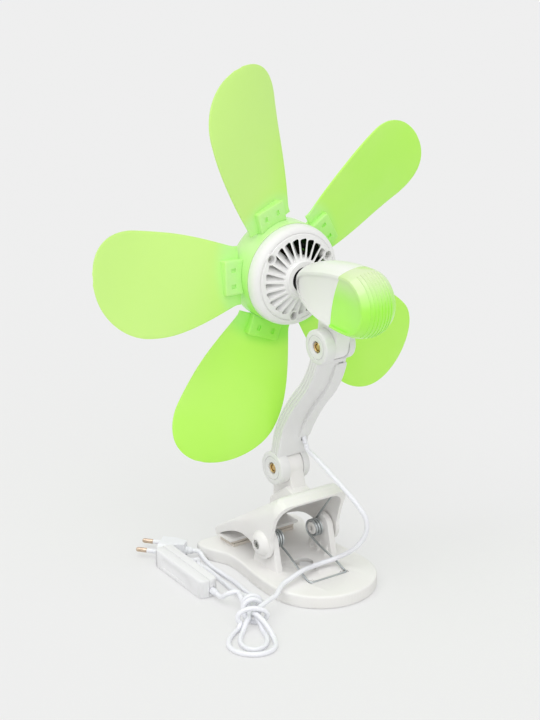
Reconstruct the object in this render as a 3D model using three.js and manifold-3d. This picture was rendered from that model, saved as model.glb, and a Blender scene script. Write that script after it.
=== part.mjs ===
// Clip fan: a spring clamp, an S-shaped arm with two friction knuckles, an egg-shaped pod and a
// five-blade rotor with soft translucent blades, fed by a mains lead with an in-line switch.
//
// Millimetres, +Z up. z = 0 is the surface the clamp stands on, x = 0 the plane of symmetry of the
// clamp, the arm and the pod. The rotor blows towards -Y, and every hinge pin lies along X.

import * as THREE from 'three';
import { mergeVertices } from 'three/addons/utils/BufferGeometryUtils.js';
import Module from 'manifold-3d';

const wasm = await Module();
wasm.setup();

// ---------------------------------------------------------------- driving dimensions

const gap = 0.3;                    // running and seating clearance between pieces

// lower jaw, which is also the stand
const baseHeight = 11.6;
const baseTop = 3.4;                // thickness of its top plate
const baseWall = 3;
const baseHalfWidth = 47.5;         // also the radius of its round rear end
const baseEndY = 70;                // centre of that round end
const baseFrontY = -38;
const baseFrontHalfWidth = 52;
const baseWaistHalfWidth = 42;
const baseWaistY = 4;
const baseEdgeRound = 2.4;
const baseRib = 2.4;
const keyholeY = 48.5;
const keyholeRadius = 7.8;
const keyholeSlotWidth = 5.2;
const keyholeSlotEndY = 62;

// clamp hinge
const hingeY = 36.9;
const hingeZ = 33.9;
const earInner = 25;                // inner face of the lower jaw's ears
const earThickness = 6;
const earRadius = 11;
const earFootFrontY = 19;
const earFootRearY = 54;
const spigotRadius = 5.4;           // the spring coils sit on these
const spigotLength = 9.4;
const screwRadius = 2;
const screwHeadRadius = 3.9;
const screwHeadHeight = 2;

// upper jaw
const jawHalfWidth = 35.3;
const jawWall = 3.2;
const jawPlate = 3;
const jawTipY = -30;
const jawTipBottomZ = 17.2;
const jawTipTopZ = 24.7;
const jawRidgeY = 52.4;
const jawRidgeZ = 79;
const jawRearY = 65.4;
const jawRearZ = 67.2;
const jawEarRadius = 13.3;
const jawBossRadius = 10.6;
const jawBossRimRadius = 5.6;
const jawBossHeight = 5;
const padThickness = 2.5;
const padHalfWidth = 31;
const padFrontY = jawTipY + 1;
const padLength = 20;
const padRibs = 7;
const padRibDepth = 0.9;

// clamp spring
const wireRadius = 0.9;
const coilRadius = 6.7;             // to the middle of the wire
const upperLegAngle = 142;          // where each leg leaves its coil, in degrees from the rear
const lowerLegAngle = 242;
const coilTurns = 3;                // whole turns besides the part turn between the legs
const coilPitch = 2.5;
const coilOuterX = 23.8;             // middle of the wire at the coil's outer end
const springLegX = 18.5;
const springBridgeY = 83.5;
const springGrooveDepth = 1.5;
const upperLegLength = 41.3;

// knuckles and arm
const lowerKnuckle = { y: 23.6, z: 91.2 };
const upperKnuckle = { y: 83.3, z: 215.1 };
const nearCheekOuter = 15;
const nearCheekInner = 6;
const farCheekOuter = -14.5;
const farCheekInner = -8.5;
const cheekRadius = 14.3;
const farCheekRadius = 13.5;
const tongueRadius = 12.4;
const ringGrooveRadius = 9.8;
const ringGrooveWidth = 0.8;
const ringGrooveDepth = 0.6;
const boltRadius = 2.5;
const nutRadius = 4.3;
const nutHeight = 3;
const armHalfThickness = 5.4;
// Points of the arm's line between the two knuckles, as shares of the way in y and in z.
const armBends = [[0.077, 0.168], [0.184, 0.329], [0.419, 0.511], [0.719, 0.684], [0.905, 0.846]];
const armLine = [[0, 0], ...armBends, [1, 1]].map(([y, z]) => [
  lowerKnuckle.y + (upperKnuckle.y - lowerKnuckle.y) * y,
  lowerKnuckle.z + (upperKnuckle.z - lowerKnuckle.z) * z]);
const armSteps = 11;                // facets along the arm
const sideRibs = 4;
const sideRibWidth = 1;
const sideRibHeight = 0.6;
const channelWidth = 4.8;           // wire channel in the back of the arm
const channelDepth = 4.4;
const channelX = -9.2;
const wireCoverThickness = 3;
const wireCoverInner = -3.6;
const armWireRadius = 1.9;

// pod
const podNoseY = 44.5;
const podAxisZ = 258.3;
const podRise = 3.4;                // degrees that the pod's own axis climbs to the rear
const podLength = 76;               // nose to the centre of its round tail
const podRadius = 31.4;
const podNoseRadius = 5.5;
const podWall = 2.2;
const podFacetX = 15;
const podFacetNoseX = 8;
const splitY = 111;
const splitLean = 14;               // degrees that the split between shell and cap leans back
const capRibs = 7;
const capRibHeight = 0.5;
const capRibWidth = 0.9;

// motor
const stemRadius = 4.5;
const stemFrontY = -7;
const statorRadius = 27;
const statorFrontY = 7;
const statorRearY = 22;
const statorPoles = 9;
const magnetOuter = 35.5;
const magnetInner = 31;

// rotor
const rotorZ = 258.3;
const bladePlaneY = 16.6;
const hubRadius = 42;
const hubWall = 2.2;
const hubRearY = 27.5;
const hubFrontY = -13;
const coverRadius = 44;
const coverRearY = 38.4;
const coverGrooveRadius = 36.7;
const slotCount = 24;
const slotWidth = 2.1;
const slotOuter = 31;
const slotInner = 18.6;
const slotSwirl = 12;
const collarOuter = 15;
const collarInner = 10;
const collarRearY = 46;
const coverScrewRadius = 33.7;
const bearingOuter = 9.7;
const bearingWidth = 5;

// blades
const bladeCount = 5;
const bladePhase = 104.25;          // degrees, seen from behind, from the image's right
const bladeTip = 169.5;
const bladeRootHalf = 23.5;
const bladeMaxHalf = 42.5;
const bladeWideR = 128;
const bladeRootR = 45;
const bladeThickness = 1.6;
const bladeSweep = 10;               // how far the tip leans to its leading side
const bladeSweepR = 100;
const bladeBlock = { tangential: 28, inner: 43, outer: 57, depth: 7 };

// mains lead
const cordRadius = 2.05;

// in-line switch, lying on its side
const switchPlace = { x: 86, y: 0.8 };
const switchYaw = -3.45;
const switchLength = 77;
const switchWidth = 17;
const switchHeight = 16.5;
const switchWall = 1.6;
const switchEdge = 1.8;
const panelDepth = 0.5;             // the sunk panel on the side that faces the viewer
const panelRearY = -22;
const panelFrontY = 14;
const panelBottomZ = 3.8;
const panelTopZ = 12.4;
const sleeveNeck = 3;
const sleeveFlange = 3.7;
const sleeveLength = 7;
const sleeveX = -2.8;
const sleeveZ = 6.2;
const sideSleeveY = -14;
const rockerY = 16;
const rockerLength = 22;
const rockerHalf = 4.6;
const rockerPin = 1.1;
const rockerAxisX = -5;
const rockerEndRoom = 1.2;          // free space at each end of the rocker

// plug
const plugFace = { x: 75.5, y: -53 };
const plugAngle = -50;              // the way its pins point
const plugLength = 22;
const plugHalfWidth = 12;
const plugRearHalf = 4.4;
const plugHeight = 13.7;
const plugReliefLength = 6;
const pinRadius = 2;
const pinPitch = 18;
const pinLength = 19;

// ---------------------------------------------------------------- helpers

// A closed geometry with shared vertices, no flat triangles and its faces pointing out.
function closed(geometry) {
  geometry.deleteAttribute('normal');
  geometry.deleteAttribute('uv');
  const merged = mergeVertices(geometry, 1e-4);
  const position = merged.getAttribute('position');
  const index = merged.getIndex().array;
  const kept = [];
  let volume = 0;
  const a = new THREE.Vector3(), b = new THREE.Vector3(), c = new THREE.Vector3();
  for (let i = 0; i < index.length; i += 3) {
    const [p, q, r] = [index[i], index[i + 1], index[i + 2]];
    if (p === q || q === r || r === p) continue;
    kept.push(p, q, r);
    a.fromBufferAttribute(position, p);
    b.fromBufferAttribute(position, q);
    c.fromBufferAttribute(position, r);
    volume += a.dot(b.clone().cross(c));
  }
  if (volume < 0) kept.reverse();
  merged.setIndex(kept);
  return merged;
}

function solid(geometry) {
  const shape = closed(geometry.clone());
  return new wasm.Manifold(new wasm.Mesh({
    numProp: 3,
    vertProperties: new Float32Array(shape.getAttribute('position').array),
    triVerts: new Uint32Array(shape.getIndex().array),
  }));
}

function geometryOf(manifold) {
  const mesh = manifold.getMesh();
  const geometry = new THREE.BufferGeometry();
  geometry.setAttribute('position', new THREE.BufferAttribute(new Float32Array(mesh.vertProperties), 3));
  geometry.setIndex(new THREE.BufferAttribute(new Uint32Array(mesh.triVerts), 1));
  return geometry;
}

const join = (...pieces) => pieces.reduce((sum, piece) => sum.add(piece));
const cut = (body, ...tools) => tools.reduce((rest, tool) => rest.subtract(tool), body);

const degrees = (angle) => THREE.MathUtils.degToRad(angle);

// A shape drawn in (Y, Z) and extruded along X from x0 to x1.
function alongX(shape, x0, x1, curveSegments = 12) {
  const geometry = new THREE.ExtrudeGeometry(shape, { depth: x1 - x0, bevelEnabled: false, curveSegments });
  geometry.translate(0, 0, x0);
  geometry.applyMatrix4(new THREE.Matrix4().makeBasis(
    new THREE.Vector3(0, 1, 0), new THREE.Vector3(0, 0, 1), new THREE.Vector3(1, 0, 0)));
  return geometry;
}

// A shape drawn in (X, Y) and extruded up from z0 to z1.
function upwards(shape, z0, z1, curveSegments = 12) {
  const geometry = new THREE.ExtrudeGeometry(shape, { depth: z1 - z0, bevelEnabled: false, curveSegments });
  return geometry.translate(0, 0, z0);
}

const outline = (points) => new THREE.Shape(points.map(([u, v]) => new THREE.Vector2(u, v)));

// A profile of (radius, distance) points turned about X through (y, z).
function turnedX(profile, y, z, segments) {
  const geometry = new THREE.LatheGeometry(profile.map(([r, h]) => new THREE.Vector2(r, h)), segments);
  return geometry.rotateZ(-Math.PI / 2).translate(0, y, z);
}

// A profile of (radius, y) points turned about the rotor's axis.
function turnedY(profile, segments, z = rotorZ) {
  const geometry = new THREE.LatheGeometry(profile.map(([r, h]) => new THREE.Vector2(r, h)), segments);
  return geometry.translate(0, 0, z);
}

const rodX = (radius, x0, x1, y, z, segments = 20) =>
  turnedX([[0, x0], [radius, x0], [radius, x1], [0, x1]], y, z, segments);

const rodY = (radius, y0, y1, segments = 24) =>
  turnedY([[0, y0], [radius, y0], [radius, y1], [0, y1]], segments);

function block(x0, x1, y0, y1, z0, z1) {
  const geometry = new THREE.BoxGeometry(x1 - x0, y1 - y0, z1 - z0);
  return geometry.translate((x0 + x1) / 2, (y0 + y1) / 2, (z0 + z1) / 2);
}

// A round tube through a list of [x, y, z] points, with flat ends.
function tube(points, radius, steps, sides) {
  const path = new THREE.CatmullRomCurve3(points.map((p) => new THREE.Vector3(...p)), false, 'centripetal');
  const section = new THREE.Shape();
  for (let k = 0; k < sides; k += 1) {
    const angle = (2 * Math.PI * k) / sides;
    const corner = [radius * Math.cos(angle), radius * Math.sin(angle)];
    if (k === 0) section.moveTo(...corner);
    else section.lineTo(...corner);
  }
  section.closePath();
  return new THREE.ExtrudeGeometry(section, { steps, bevelEnabled: false, extrudePath: path });
}

// A round tube whose rings stand at the given points: for coils, turns and tight loops.
function sweep(points, radius, sides) {
  const path = points.map((p) => new THREE.Vector3(...p));
  const along = path.map((_, i) => path[Math.min(i + 1, path.length - 1)].clone()
    .sub(path[Math.max(i - 1, 0)]).normalize());
  const across = new THREE.Vector3(0, 0, 1).cross(along[0]);
  if (across.lengthSq() < 0.01) across.set(1, 0, 0);
  const positions = [];
  path.forEach((centre, i) => {
    if (i > 0) across.applyQuaternion(new THREE.Quaternion().setFromUnitVectors(along[i - 1], along[i]));
    across.addScaledVector(along[i], -across.dot(along[i])).normalize();
    const other = along[i].clone().cross(across);
    for (let k = 0; k < sides; k += 1) {
      const angle = (2 * Math.PI * k) / sides;
      const corner = centre.clone().addScaledVector(across, radius * Math.cos(angle))
        .addScaledVector(other, radius * Math.sin(angle));
      positions.push(corner.x, corner.y, corner.z);
    }
  });
  const index = [];
  for (let i = 0; i < path.length - 1; i += 1) {
    for (let k = 0; k < sides; k += 1) {
      const [a, b] = [i * sides + k, i * sides + ((k + 1) % sides)];
      index.push(a, b, b + sides, a, b + sides, a + sides);
    }
  }
  const last = (path.length - 1) * sides;
  for (let k = 1; k < sides - 1; k += 1) index.push(0, k + 1, k, last, last + k, last + k + 1);
  const geometry = new THREE.BufferGeometry();
  geometry.setAttribute('position', new THREE.Float32BufferAttribute(positions, 3));
  geometry.setIndex(index);
  return geometry;
}

// Even points along a smooth curve through `points`, between two shares of its length.
function evenly(points, count, from = 0, to = 1) {
  const curve = new THREE.CatmullRomCurve3(points.map((p) => new THREE.Vector3(...p)), false, 'centripetal');
  curve.arcLengthDivisions = 2000;
  return Array.from({ length: count + 1 },
    (_, k) => curve.getPointAt(from + ((to - from) * k) / count).toArray());
}

// The least gap between one tube and itself, over places more than `apart` from each other along it.
function leastGap(points, radius, apart) {
  const length = new THREE.CatmullRomCurve3(points.map((p) => new THREE.Vector3(...p)), false,
    'centripetal').getLength();
  const fine = evenly(points, Math.round(length / 0.8)).map((p) => new THREE.Vector3(...p));
  const skip = Math.ceil(apart / 0.8);
  let least = Infinity;
  for (let i = 0; i < fine.length; i += 1) {
    for (let j = i + skip; j < fine.length; j += 1) least = Math.min(least, fine[i].distanceTo(fine[j]));
  }
  return least - 2 * radius;
}

function reportGap(name, points, radius) {
  console.log(`${name}: least gap to itself ${leastGap(points, radius, 8 * radius).toFixed(2)} mm`);
}

const smooth = (t) => THREE.MathUtils.smoothstep(t, 0, 1);

const fan = new THREE.Group();

function part(name, geometry, material) {
  const mesh = new THREE.Mesh(closed(geometry), material);
  mesh.name = name;
  fan.add(mesh);
}

const finish = (color, roughness, metalness = 0) =>
  new THREE.MeshStandardMaterial({ color, roughness, metalness });

const whitePlastic = () => finish(0xe9e8e4, 0.42);
const limePlastic = () => finish(0xb4ee6e, 0.35);
const mintPlastic = () => finish(0xb6eeb0, 0.32);
const steel = () => finish(0xb9bcbe, 0.3, 1);
const brass = () => finish(0xc69a4a, 0.32, 1);
const rubber = () => finish(0xd8d2c4, 0.75);
const cordPlastic = () => finish(0xeceef5, 0.4);

// ---------------------------------------------------------------- lower jaw

// The stand's outline seen from above, drawn in by `inset`.
function baseOutline(inset) {
  const half = baseHalfWidth - inset;
  const front = baseFrontHalfWidth - inset;
  const waist = baseWaistHalfWidth - inset;
  const frontY = baseFrontY + inset;
  const corner = 9;
  const shape = new THREE.Shape();
  shape.moveTo(-front + corner, frontY);
  shape.lineTo(front - corner, frontY);
  shape.quadraticCurveTo(front, frontY, front, frontY + corner);
  shape.bezierCurveTo(front, frontY + 22, waist, baseWaistY - 14, waist, baseWaistY);
  shape.bezierCurveTo(waist, baseWaistY + 20, half, baseEndY - 34, half, baseEndY);
  shape.absarc(0, baseEndY, half, 0, Math.PI, false);
  shape.bezierCurveTo(-half, baseEndY - 34, -waist, baseWaistY + 20, -waist, baseWaistY);
  shape.bezierCurveTo(-waist, baseWaistY - 14, -front, frontY + 22, -front, frontY + corner);
  shape.quadraticCurveTo(-front, frontY, -front + corner, frontY);
  return shape;
}

function keyhole() {
  const shape = new THREE.Shape();
  const half = keyholeSlotWidth / 2;
  const shoulder = Math.asin(half / keyholeRadius);
  shape.absarc(0, keyholeY, keyholeRadius, Math.PI / 2 + shoulder, Math.PI / 2 - shoulder + 2 * Math.PI,
    false);
  shape.absarc(0, keyholeSlotEndY, half, 0, Math.PI, false);
  return solid(upwards(shape, -1, baseHeight + 1, 6));
}

function earProfile(radius) {
  const shape = new THREE.Shape();
  shape.moveTo(earFootFrontY, baseHeight - baseTop / 2);
  shape.absarc(hingeY, hingeZ, radius, degrees(165), degrees(15), true);
  shape.lineTo(earFootRearY, baseHeight - baseTop / 2);
  return shape;
}

// One ear with its spring spigot and three small buttress ribs, on the side where x has this sign.
function ear(side) {
  const inner = side * earInner;
  const outer = side * (earInner + earThickness);
  const spigotEnd = side * (earInner - spigotLength);
  const [x0, x1] = [Math.min(inner, outer), Math.max(inner, outer)];
  const [s0, s1] = [Math.min(spigotEnd, inner + side), Math.max(spigotEnd, inner + side)];
  const pieces = [solid(alongX(earProfile(earRadius), x0, x1)),
    solid(rodX(spigotRadius, s0, s1, hingeY, hingeZ))];
  const ribTop = hingeZ - earRadius;
  for (const y of [27, 37, 47]) {
    const foot = outline([[inner + side, baseHeight - 1], [inner - side * 4.5, baseHeight - 1],
      [inner + side, ribTop]]);
    const rib = new THREE.ExtrudeGeometry(foot, { depth: 2, bevelEnabled: false });
    rib.applyMatrix4(new THREE.Matrix4().makeBasis(
      new THREE.Vector3(1, 0, 0), new THREE.Vector3(0, 0, 1), new THREE.Vector3(0, -1, 0)));
    pieces.push(solid(rib.translate(0, y + 1, 0)));
  }
  return join(...pieces);
}

// The groove that holds the bridge of the spring.
function springGroove() {
  const half = wireRadius + 0.6;
  const floor = baseHeight - springGrooveDepth;
  const corner = (x) => solid(block(x - 3, x + 3, springBridgeY - 4, springBridgeY + half, floor,
    baseHeight + 1));
  const leg = (x) => solid(block(x - half, x + half, springBridgeY - 7.5, springBridgeY + half, floor,
    baseHeight + 1));
  return join(leg(springLegX), leg(-springLegX), corner(springLegX - 2), corner(2 - springLegX), solid(block(
    -springLegX, springLegX, springBridgeY - half, springBridgeY + half, floor, baseHeight + 1)));
}

function lowerJaw() {
  const slab = new THREE.ExtrudeGeometry(baseOutline(baseEdgeRound), {
    depth: baseHeight, bevelThickness: baseEdgeRound, bevelSize: baseEdgeRound, bevelSegments: 2,
      curveSegments: 5,
  });
  slab.translate(0, 0, -baseEdgeRound);
  const below = block(-90, 90, -90, 160, -20, 0);
  const cavity = solid(upwards(baseOutline(baseWall), -1, baseHeight - baseTop, 4));
  const ribs = [block(-baseRib / 2, baseRib / 2, -60, 140, -2, baseHeight)];
  for (const x of [-26, 26]) ribs.push(block(x - baseRib / 2, x + baseRib / 2, -60, 140, -2, baseHeight));
  for (const y of [-22, 26, 76]) ribs.push(block(-70, 70, y - baseRib / 2, y + baseRib / 2, -2, baseHeight));
  ribs.push(block(-70, 70, -7, 7, -2, baseHeight));
  const pockets = cut(cavity, ...ribs.map(solid));
  const body = cut(solid(slab), solid(below), pockets);
  const screwHole = (side) => solid(rodX(screwRadius + gap, Math.min(0, side * 60),
    Math.max(0, side * 60), hingeY, hingeZ, 12));
  return cut(join(body, ear(1), ear(-1)), keyhole(), springGroove(), screwHole(1), screwHole(-1));
}

part('lower_jaw', geometryOf(lowerJaw()), whitePlastic());

// A pad with ribs across it; `up` is 1 when the ribs face up.
function ribbedPad(halfWidth, y0, z0, up) {
  const z1 = z0 + padThickness;
  const pitch = padLength / padRibs;
  const points = [];
  const crest = up > 0 ? z1 : z0;
  const valley = crest - up * padRibDepth;
  for (let k = 0; k < padRibs; k += 1) {
    const y = y0 + k * pitch;
    points.push([y, valley], [y + pitch * 0.25, crest], [y + pitch * 0.75, crest]);
  }
  points.push([y0 + padLength, valley]);
  const back = up > 0 ? z0 : z1;
  points.push([y0 + padLength, back], [y0, back]);
  return alongX(outline(points), -halfWidth, halfWidth);
}

part('lower_jaw_pad', ribbedPad(padHalfWidth, padFrontY, baseHeight + gap * 0.1, 1), rubber());

// ---------------------------------------------------------------- upper jaw

const ridgeAngle = Math.atan2(jawRidgeZ - jawTipTopZ, jawRidgeY - jawTipY - 1.5);
const ridgeNormal = [-Math.sin(ridgeAngle), Math.cos(ridgeAngle)];

function jawOuterProfile() {
  const shape = new THREE.Shape();
  shape.moveTo(jawTipY + 1, jawTipBottomZ);
  shape.lineTo(jawTipY, jawTipBottomZ + 3.5);
  shape.quadraticCurveTo(jawTipY, jawTipTopZ - 1, jawTipY + 1.5, jawTipTopZ);
  shape.lineTo(jawRidgeY - 6, jawRidgeZ - 6 * Math.tan(ridgeAngle));
  shape.quadraticCurveTo(jawRidgeY + 2, jawRidgeZ + 0.5, jawRidgeY + 5, jawRidgeZ - 3.2);
  shape.lineTo(jawRearY, jawRearZ);
  shape.quadraticCurveTo(55, 58, hingeY + jawEarRadius + 0.6, 44);
  shape.absarc(hingeY, hingeZ, jawEarRadius, degrees(20), degrees(205), true);
  shape.quadraticCurveTo(19, 32.6, 8, 32.4);
  shape.quadraticCurveTo(-6, 31.5, jawTipY + 1, jawTipBottomZ);
  return shape;
}

function jawCavity() {
  const inside = (y, z) => [y - ridgeNormal[0] * jawPlate, z - ridgeNormal[1] * jawPlate];
  const front = inside(jawTipY + 7, jawTipTopZ + 5.5 * Math.tan(ridgeAngle));
  const ridge = inside(jawRidgeY - 1, jawRidgeZ - Math.tan(ridgeAngle));
  const half = jawHalfWidth - jawWall;
  const space = outline([[front[0], jawTipBottomZ + 2.2], front, ridge,
    [jawRearY - 1.6, jawRearZ - 3.2], [90, 30], [90, 0], [front[0] + 20, 0],
      [front[0] + 20, jawTipBottomZ + 2.2]]);
  return solid(alongX(space, -half, half));
}

// The tongue that the arm's lower fork closes on, with its flared foot.
function jawTongue() {
  const foot = (y) => jawTipTopZ + (y - jawTipY - 1.5) * Math.tan(ridgeAngle) - 1;
  const shape = new THREE.Shape();
  shape.moveTo(13, foot(13));
  shape.lineTo(13, foot(13) + 11);
  shape.absarc(lowerKnuckle.y, lowerKnuckle.z, tongueRadius, degrees(190), degrees(-12), true);
  shape.lineTo(41, foot(41));
  return join(
    solid(alongX(shape, farCheekInner + gap, nearCheekInner - gap)),
    solid(alongX(outline([[12, foot(12)], [13, foot(13) + 9.5], [35, foot(35) + 11], [46, foot(46)]]),
      -9.5, 9.5)),
  );
}

function jawBoss(side) {
  const wall = jawHalfWidth - 0.5;
  const rim = jawHalfWidth + jawBossHeight;
  const profile = [[0, wall], [jawBossRadius, wall], [jawBossRadius - 0.6, jawHalfWidth + 1.2],
    [jawBossRimRadius + 0.8, rim - 0.5], [jawBossRimRadius, rim], [0, rim]];
  return solid(turnedX(profile.map(([r, x]) => [r, side * x]), hingeY, hingeZ, 20));
}

function upperJaw() {
  const shell = cut(solid(alongX(jawOuterProfile(), -jawHalfWidth, jawHalfWidth, 6)), jawCavity());
  const swing = 1.2;                // room around the tongue for the arm's fork
  const forkRoom = (x0, x1, radius) => solid(rodX(radius + swing, x0, x1, lowerKnuckle.y, lowerKnuckle.z,
    20));
  const web = solid(block(-jawHalfWidth + 0.5, jawHalfWidth - 0.5, jawTipY + 2.5, padFrontY + padLength + 1,
    jawTipBottomZ, jawTipBottomZ + 2.4));
  const body = cut(join(shell, web, jawTongue(), jawBoss(1), jawBoss(-1)),
    forkRoom(nearCheekInner - gap, nearCheekOuter + 3, cheekRadius),
    forkRoom(farCheekOuter - 3, farCheekInner + gap, cheekRadius),
    solid(rodX(boltRadius + gap, -20, 20, lowerKnuckle.y, lowerKnuckle.z, 14)));
  const bores = [1, -1].flatMap((side) => {
    const at = (x0, x1) => [Math.min(side * x0, side * x1), Math.max(side * x0, side * x1)];
    const [h0, h1] = at(jawHalfWidth + jawBossHeight - screwHeadHeight - 0.8, 60);
    const [s0, s1] = at(20, 60);
    return [solid(rodX(screwHeadRadius + gap, h0, h1, hingeY, hingeZ, 16)),
      solid(rodX(screwRadius + gap, s0, s1, hingeY, hingeZ, 12))];
  });
  return cut(body, ...bores);
}

part('upper_jaw', geometryOf(upperJaw()), whitePlastic());

const upperPadZ = jawTipBottomZ - gap * 0.1 - padThickness;
part('upper_jaw_pad', ribbedPad(padHalfWidth, padFrontY, upperPadZ, -1), rubber());

// One cross-head screw on each side, from the boss into the lower jaw's ear.
function pivotScrew(side) {
  const seat = jawHalfWidth + jawBossHeight - screwHeadHeight - 0.5;
  const top = seat + screwHeadHeight;
  const profile = [[0, earInner - spigotLength + 2], [screwRadius, earInner - spigotLength + 2],
    [screwRadius, seat],
    [screwHeadRadius, seat], [screwHeadRadius, top - 0.7], [screwHeadRadius - 1.4, top], [0, top]];
  const screw = solid(turnedX(profile.map(([r, x]) => [r, side * x]), hingeY, hingeZ, 14));
  const [x0, x1] = [side * (top - 1.1), side * (top + 1)].sort((a, b) => a - b);
  return cut(screw,
    solid(block(x0, x1, hingeY - 2.1, hingeY + 2.1, hingeZ - 0.4, hingeZ + 0.4)),
    solid(block(x0, x1, hingeY - 0.4, hingeY + 0.4, hingeZ - 2.1, hingeZ + 2.1)));
}

part('clamp_screw_near', geometryOf(pivotScrew(1)), steel());
part('clamp_screw_far', geometryOf(pivotScrew(-1)), steel());

// ---------------------------------------------------------------- clamp spring

// Half of the double torsion spring, from the tip of one upper leg to the middle of the bridge.
function springHalf() {
  const at = (angle, x) => [x, hingeY + coilRadius * Math.cos(degrees(angle)),
    hingeZ + coilRadius * Math.sin(degrees(angle))];
  const start = at(upperLegAngle, coilOuterX);
  const rise = degrees(upperLegAngle - 90);
  const leg = (share) => [coilOuterX, start[1] + upperLegLength * share * Math.cos(rise),
    start[2] + upperLegLength * share * Math.sin(rise)];
  const points = [leg(1), leg(0.95), leg(0.5), leg(0.1)];
  const turned = coilTurns * 360 + lowerLegAngle - upperLegAngle;
  const count = Math.round(turned / 45);
  for (let k = 0; k <= count; k += 1) {
    points.push(at(upperLegAngle + (turned * k) / count,
      coilOuterX - (coilPitch * turned * k) / (360 * count)));
  }
  const [endX, endY, endZ] = points[points.length - 1];
  const bridgeZ = baseHeight - springGrooveDepth + wireRadius + gap;
  const down = (share) => [endX + (springLegX - endX) * smooth((share - 0.2) / 0.7),
    endY + (springBridgeY - 3 - endY) * share,
    endZ + (bridgeZ - endZ) * share];
  points.push(down(0.1), down(0.5), down(0.92), down(1));
  points.push([springLegX - 1, springBridgeY - 0.9, bridgeZ], [springLegX - 3, springBridgeY, bridgeZ]);
  points.push([springLegX - 5, springBridgeY, bridgeZ], [0.5, springBridgeY, bridgeZ]);
  return points;
}

const nearHalf = springHalf();
const springPath = [...nearHalf, ...nearHalf.map(([x, y, z]) => [-x, y, z]).reverse()];
reportGap('clamp_spring', springPath, wireRadius);
part('clamp_spring', sweep(springPath, wireRadius, 5), steel());

// ---------------------------------------------------------------- arm

const armCurve = new THREE.SplineCurve(armLine.map(([y, z]) => new THREE.Vector2(y, z)));

// Points of the arm's line between two shares of its length, moved sideways by `offset`, which may
// be a function of that share; a positive offset is towards the back.
function armOffset(offset, from = 0, to = 1, steps = armSteps) {
  const points = [];
  for (let k = 0; k <= steps; k += 1) {
    const share = from + ((to - from) * k) / steps;
    const at = armCurve.getPointAt(share);
    const along = armCurve.getTangentAt(share);
    const distance = typeof offset === 'function' ? offset(share) : offset;
    points.push([at.x + along.y * distance, at.y - along.x * distance]);
  }
  return points;
}

const armBand = (front, back, from = 0, to = 1, steps = armSteps) =>
  outline([...armOffset(back, from, to, steps), ...armOffset(front, from, to, steps).reverse()]);

// The round cheek on the camera side, with its ring groove and the pocket for the nut.
function nearCheek(knuckle) {
  const groove = [ringGrooveRadius - ringGrooveWidth / 2, ringGrooveRadius + ringGrooveWidth / 2];
  const outer = nearCheekOuter;
  const pocket = outer - nutHeight - 1;
  return solid(turnedX([
    [0, nearCheekInner], [cheekRadius, nearCheekInner], [cheekRadius, outer - 1], [cheekRadius - 1, outer],
    [groove[1], outer], [groove[1], outer - ringGrooveDepth], [groove[0], outer - ringGrooveDepth],
      [groove[0], outer],
    [nutRadius + 0.9, outer], [nutRadius + 0.5, pocket], [0, pocket]], knuckle.y, knuckle.z, 18));
}

function farCheek(knuckle) {
  const outer = farCheekOuter;
  return solid(turnedX([
    [0, farCheekInner], [farCheekRadius, farCheekInner], [farCheekRadius, outer + 1],
      [farCheekRadius - 1, outer],
    [nutRadius + 0.7, outer], [nutRadius + 0.7, outer + 2], [0, outer + 2]], knuckle.y, knuckle.z, 16));
}

function arm() {
  const ends = [lowerKnuckle, upperKnuckle];
  const band = solid(alongX(armBand(-armHalfThickness, armHalfThickness), farCheekOuter,
    nearCheekOuter - sideRibHeight));
  const core = join(band, ...ends.map(nearCheek), ...ends.map(farCheek));
  const rooms = ends.flatMap((end) => [
    solid(rodX(tongueRadius + 1, farCheekInner, nearCheekInner, end.y, end.z, 18)),
    solid(rodX(cheekRadius + 3, nearCheekOuter, nearCheekOuter + 5, end.y, end.z, 14)),
    solid(rodX(boltRadius + gap, -20, 20, end.y, end.z, 14)),
  ]);
  const pockets = ends.flatMap((end) => [
    solid(rodX(nutRadius + 0.5, nearCheekOuter - nutHeight - 1, nearCheekOuter + 2, end.y, end.z, 14)),
    solid(rodX(nutRadius + 0.5, farCheekOuter - 2, farCheekOuter + 2, end.y, end.z, 14)),
  ]);
  // below the lower knuckle and above the upper one the fork is open for its tongue
  const mouths = [
    solid(block(farCheekInner, nearCheekInner, 0, 60, lowerKnuckle.z - 30, lowerKnuckle.z)),
    solid(block(farCheekInner, nearCheekInner, 60, 110, upperKnuckle.z, upperKnuckle.z + 30)),
  ];
  const channel = solid(alongX(armBand(armHalfThickness - channelDepth, armHalfThickness + 2, 0.13, 0.9),
    channelX - channelWidth / 2, channelX + channelWidth / 2));
  const rib = (k) => {
    const centre = -armHalfThickness + ((k + 0.5) * 2 * armHalfThickness) / sideRibs;
    return solid(alongX(armBand(centre - sideRibWidth / 2, centre + sideRibWidth / 2, 0.1, 0.9, 8),
      nearCheekOuter - sideRibHeight - 0.2, nearCheekOuter - 0.05));
  };
  const ribs = Array.from({ length: sideRibs }, (_, k) => rib(k));
  return cut(join(core, ...ribs), ...rooms, ...pockets, ...mouths, channel);
}

part('arm', geometryOf(arm()), whitePlastic());

// The strip that closes the wire channel; the lead comes out under its lower end.
const coverShare = { from: 0.225, to: 0.88 };
const coverRise = (share) => {
  const middle = (share - coverShare.from) / (coverShare.to - coverShare.from);
  return armHalfThickness + gap + 0.8 + (wireCoverThickness - 0.8) * Math.sqrt(Math.max(0,
    Math.sin(Math.PI * middle)));
};
part('arm_wire_cover', alongX(armBand(armHalfThickness + gap, coverRise, coverShare.from, coverShare.to),
  farCheekOuter, wireCoverInner), whitePlastic());

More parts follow.
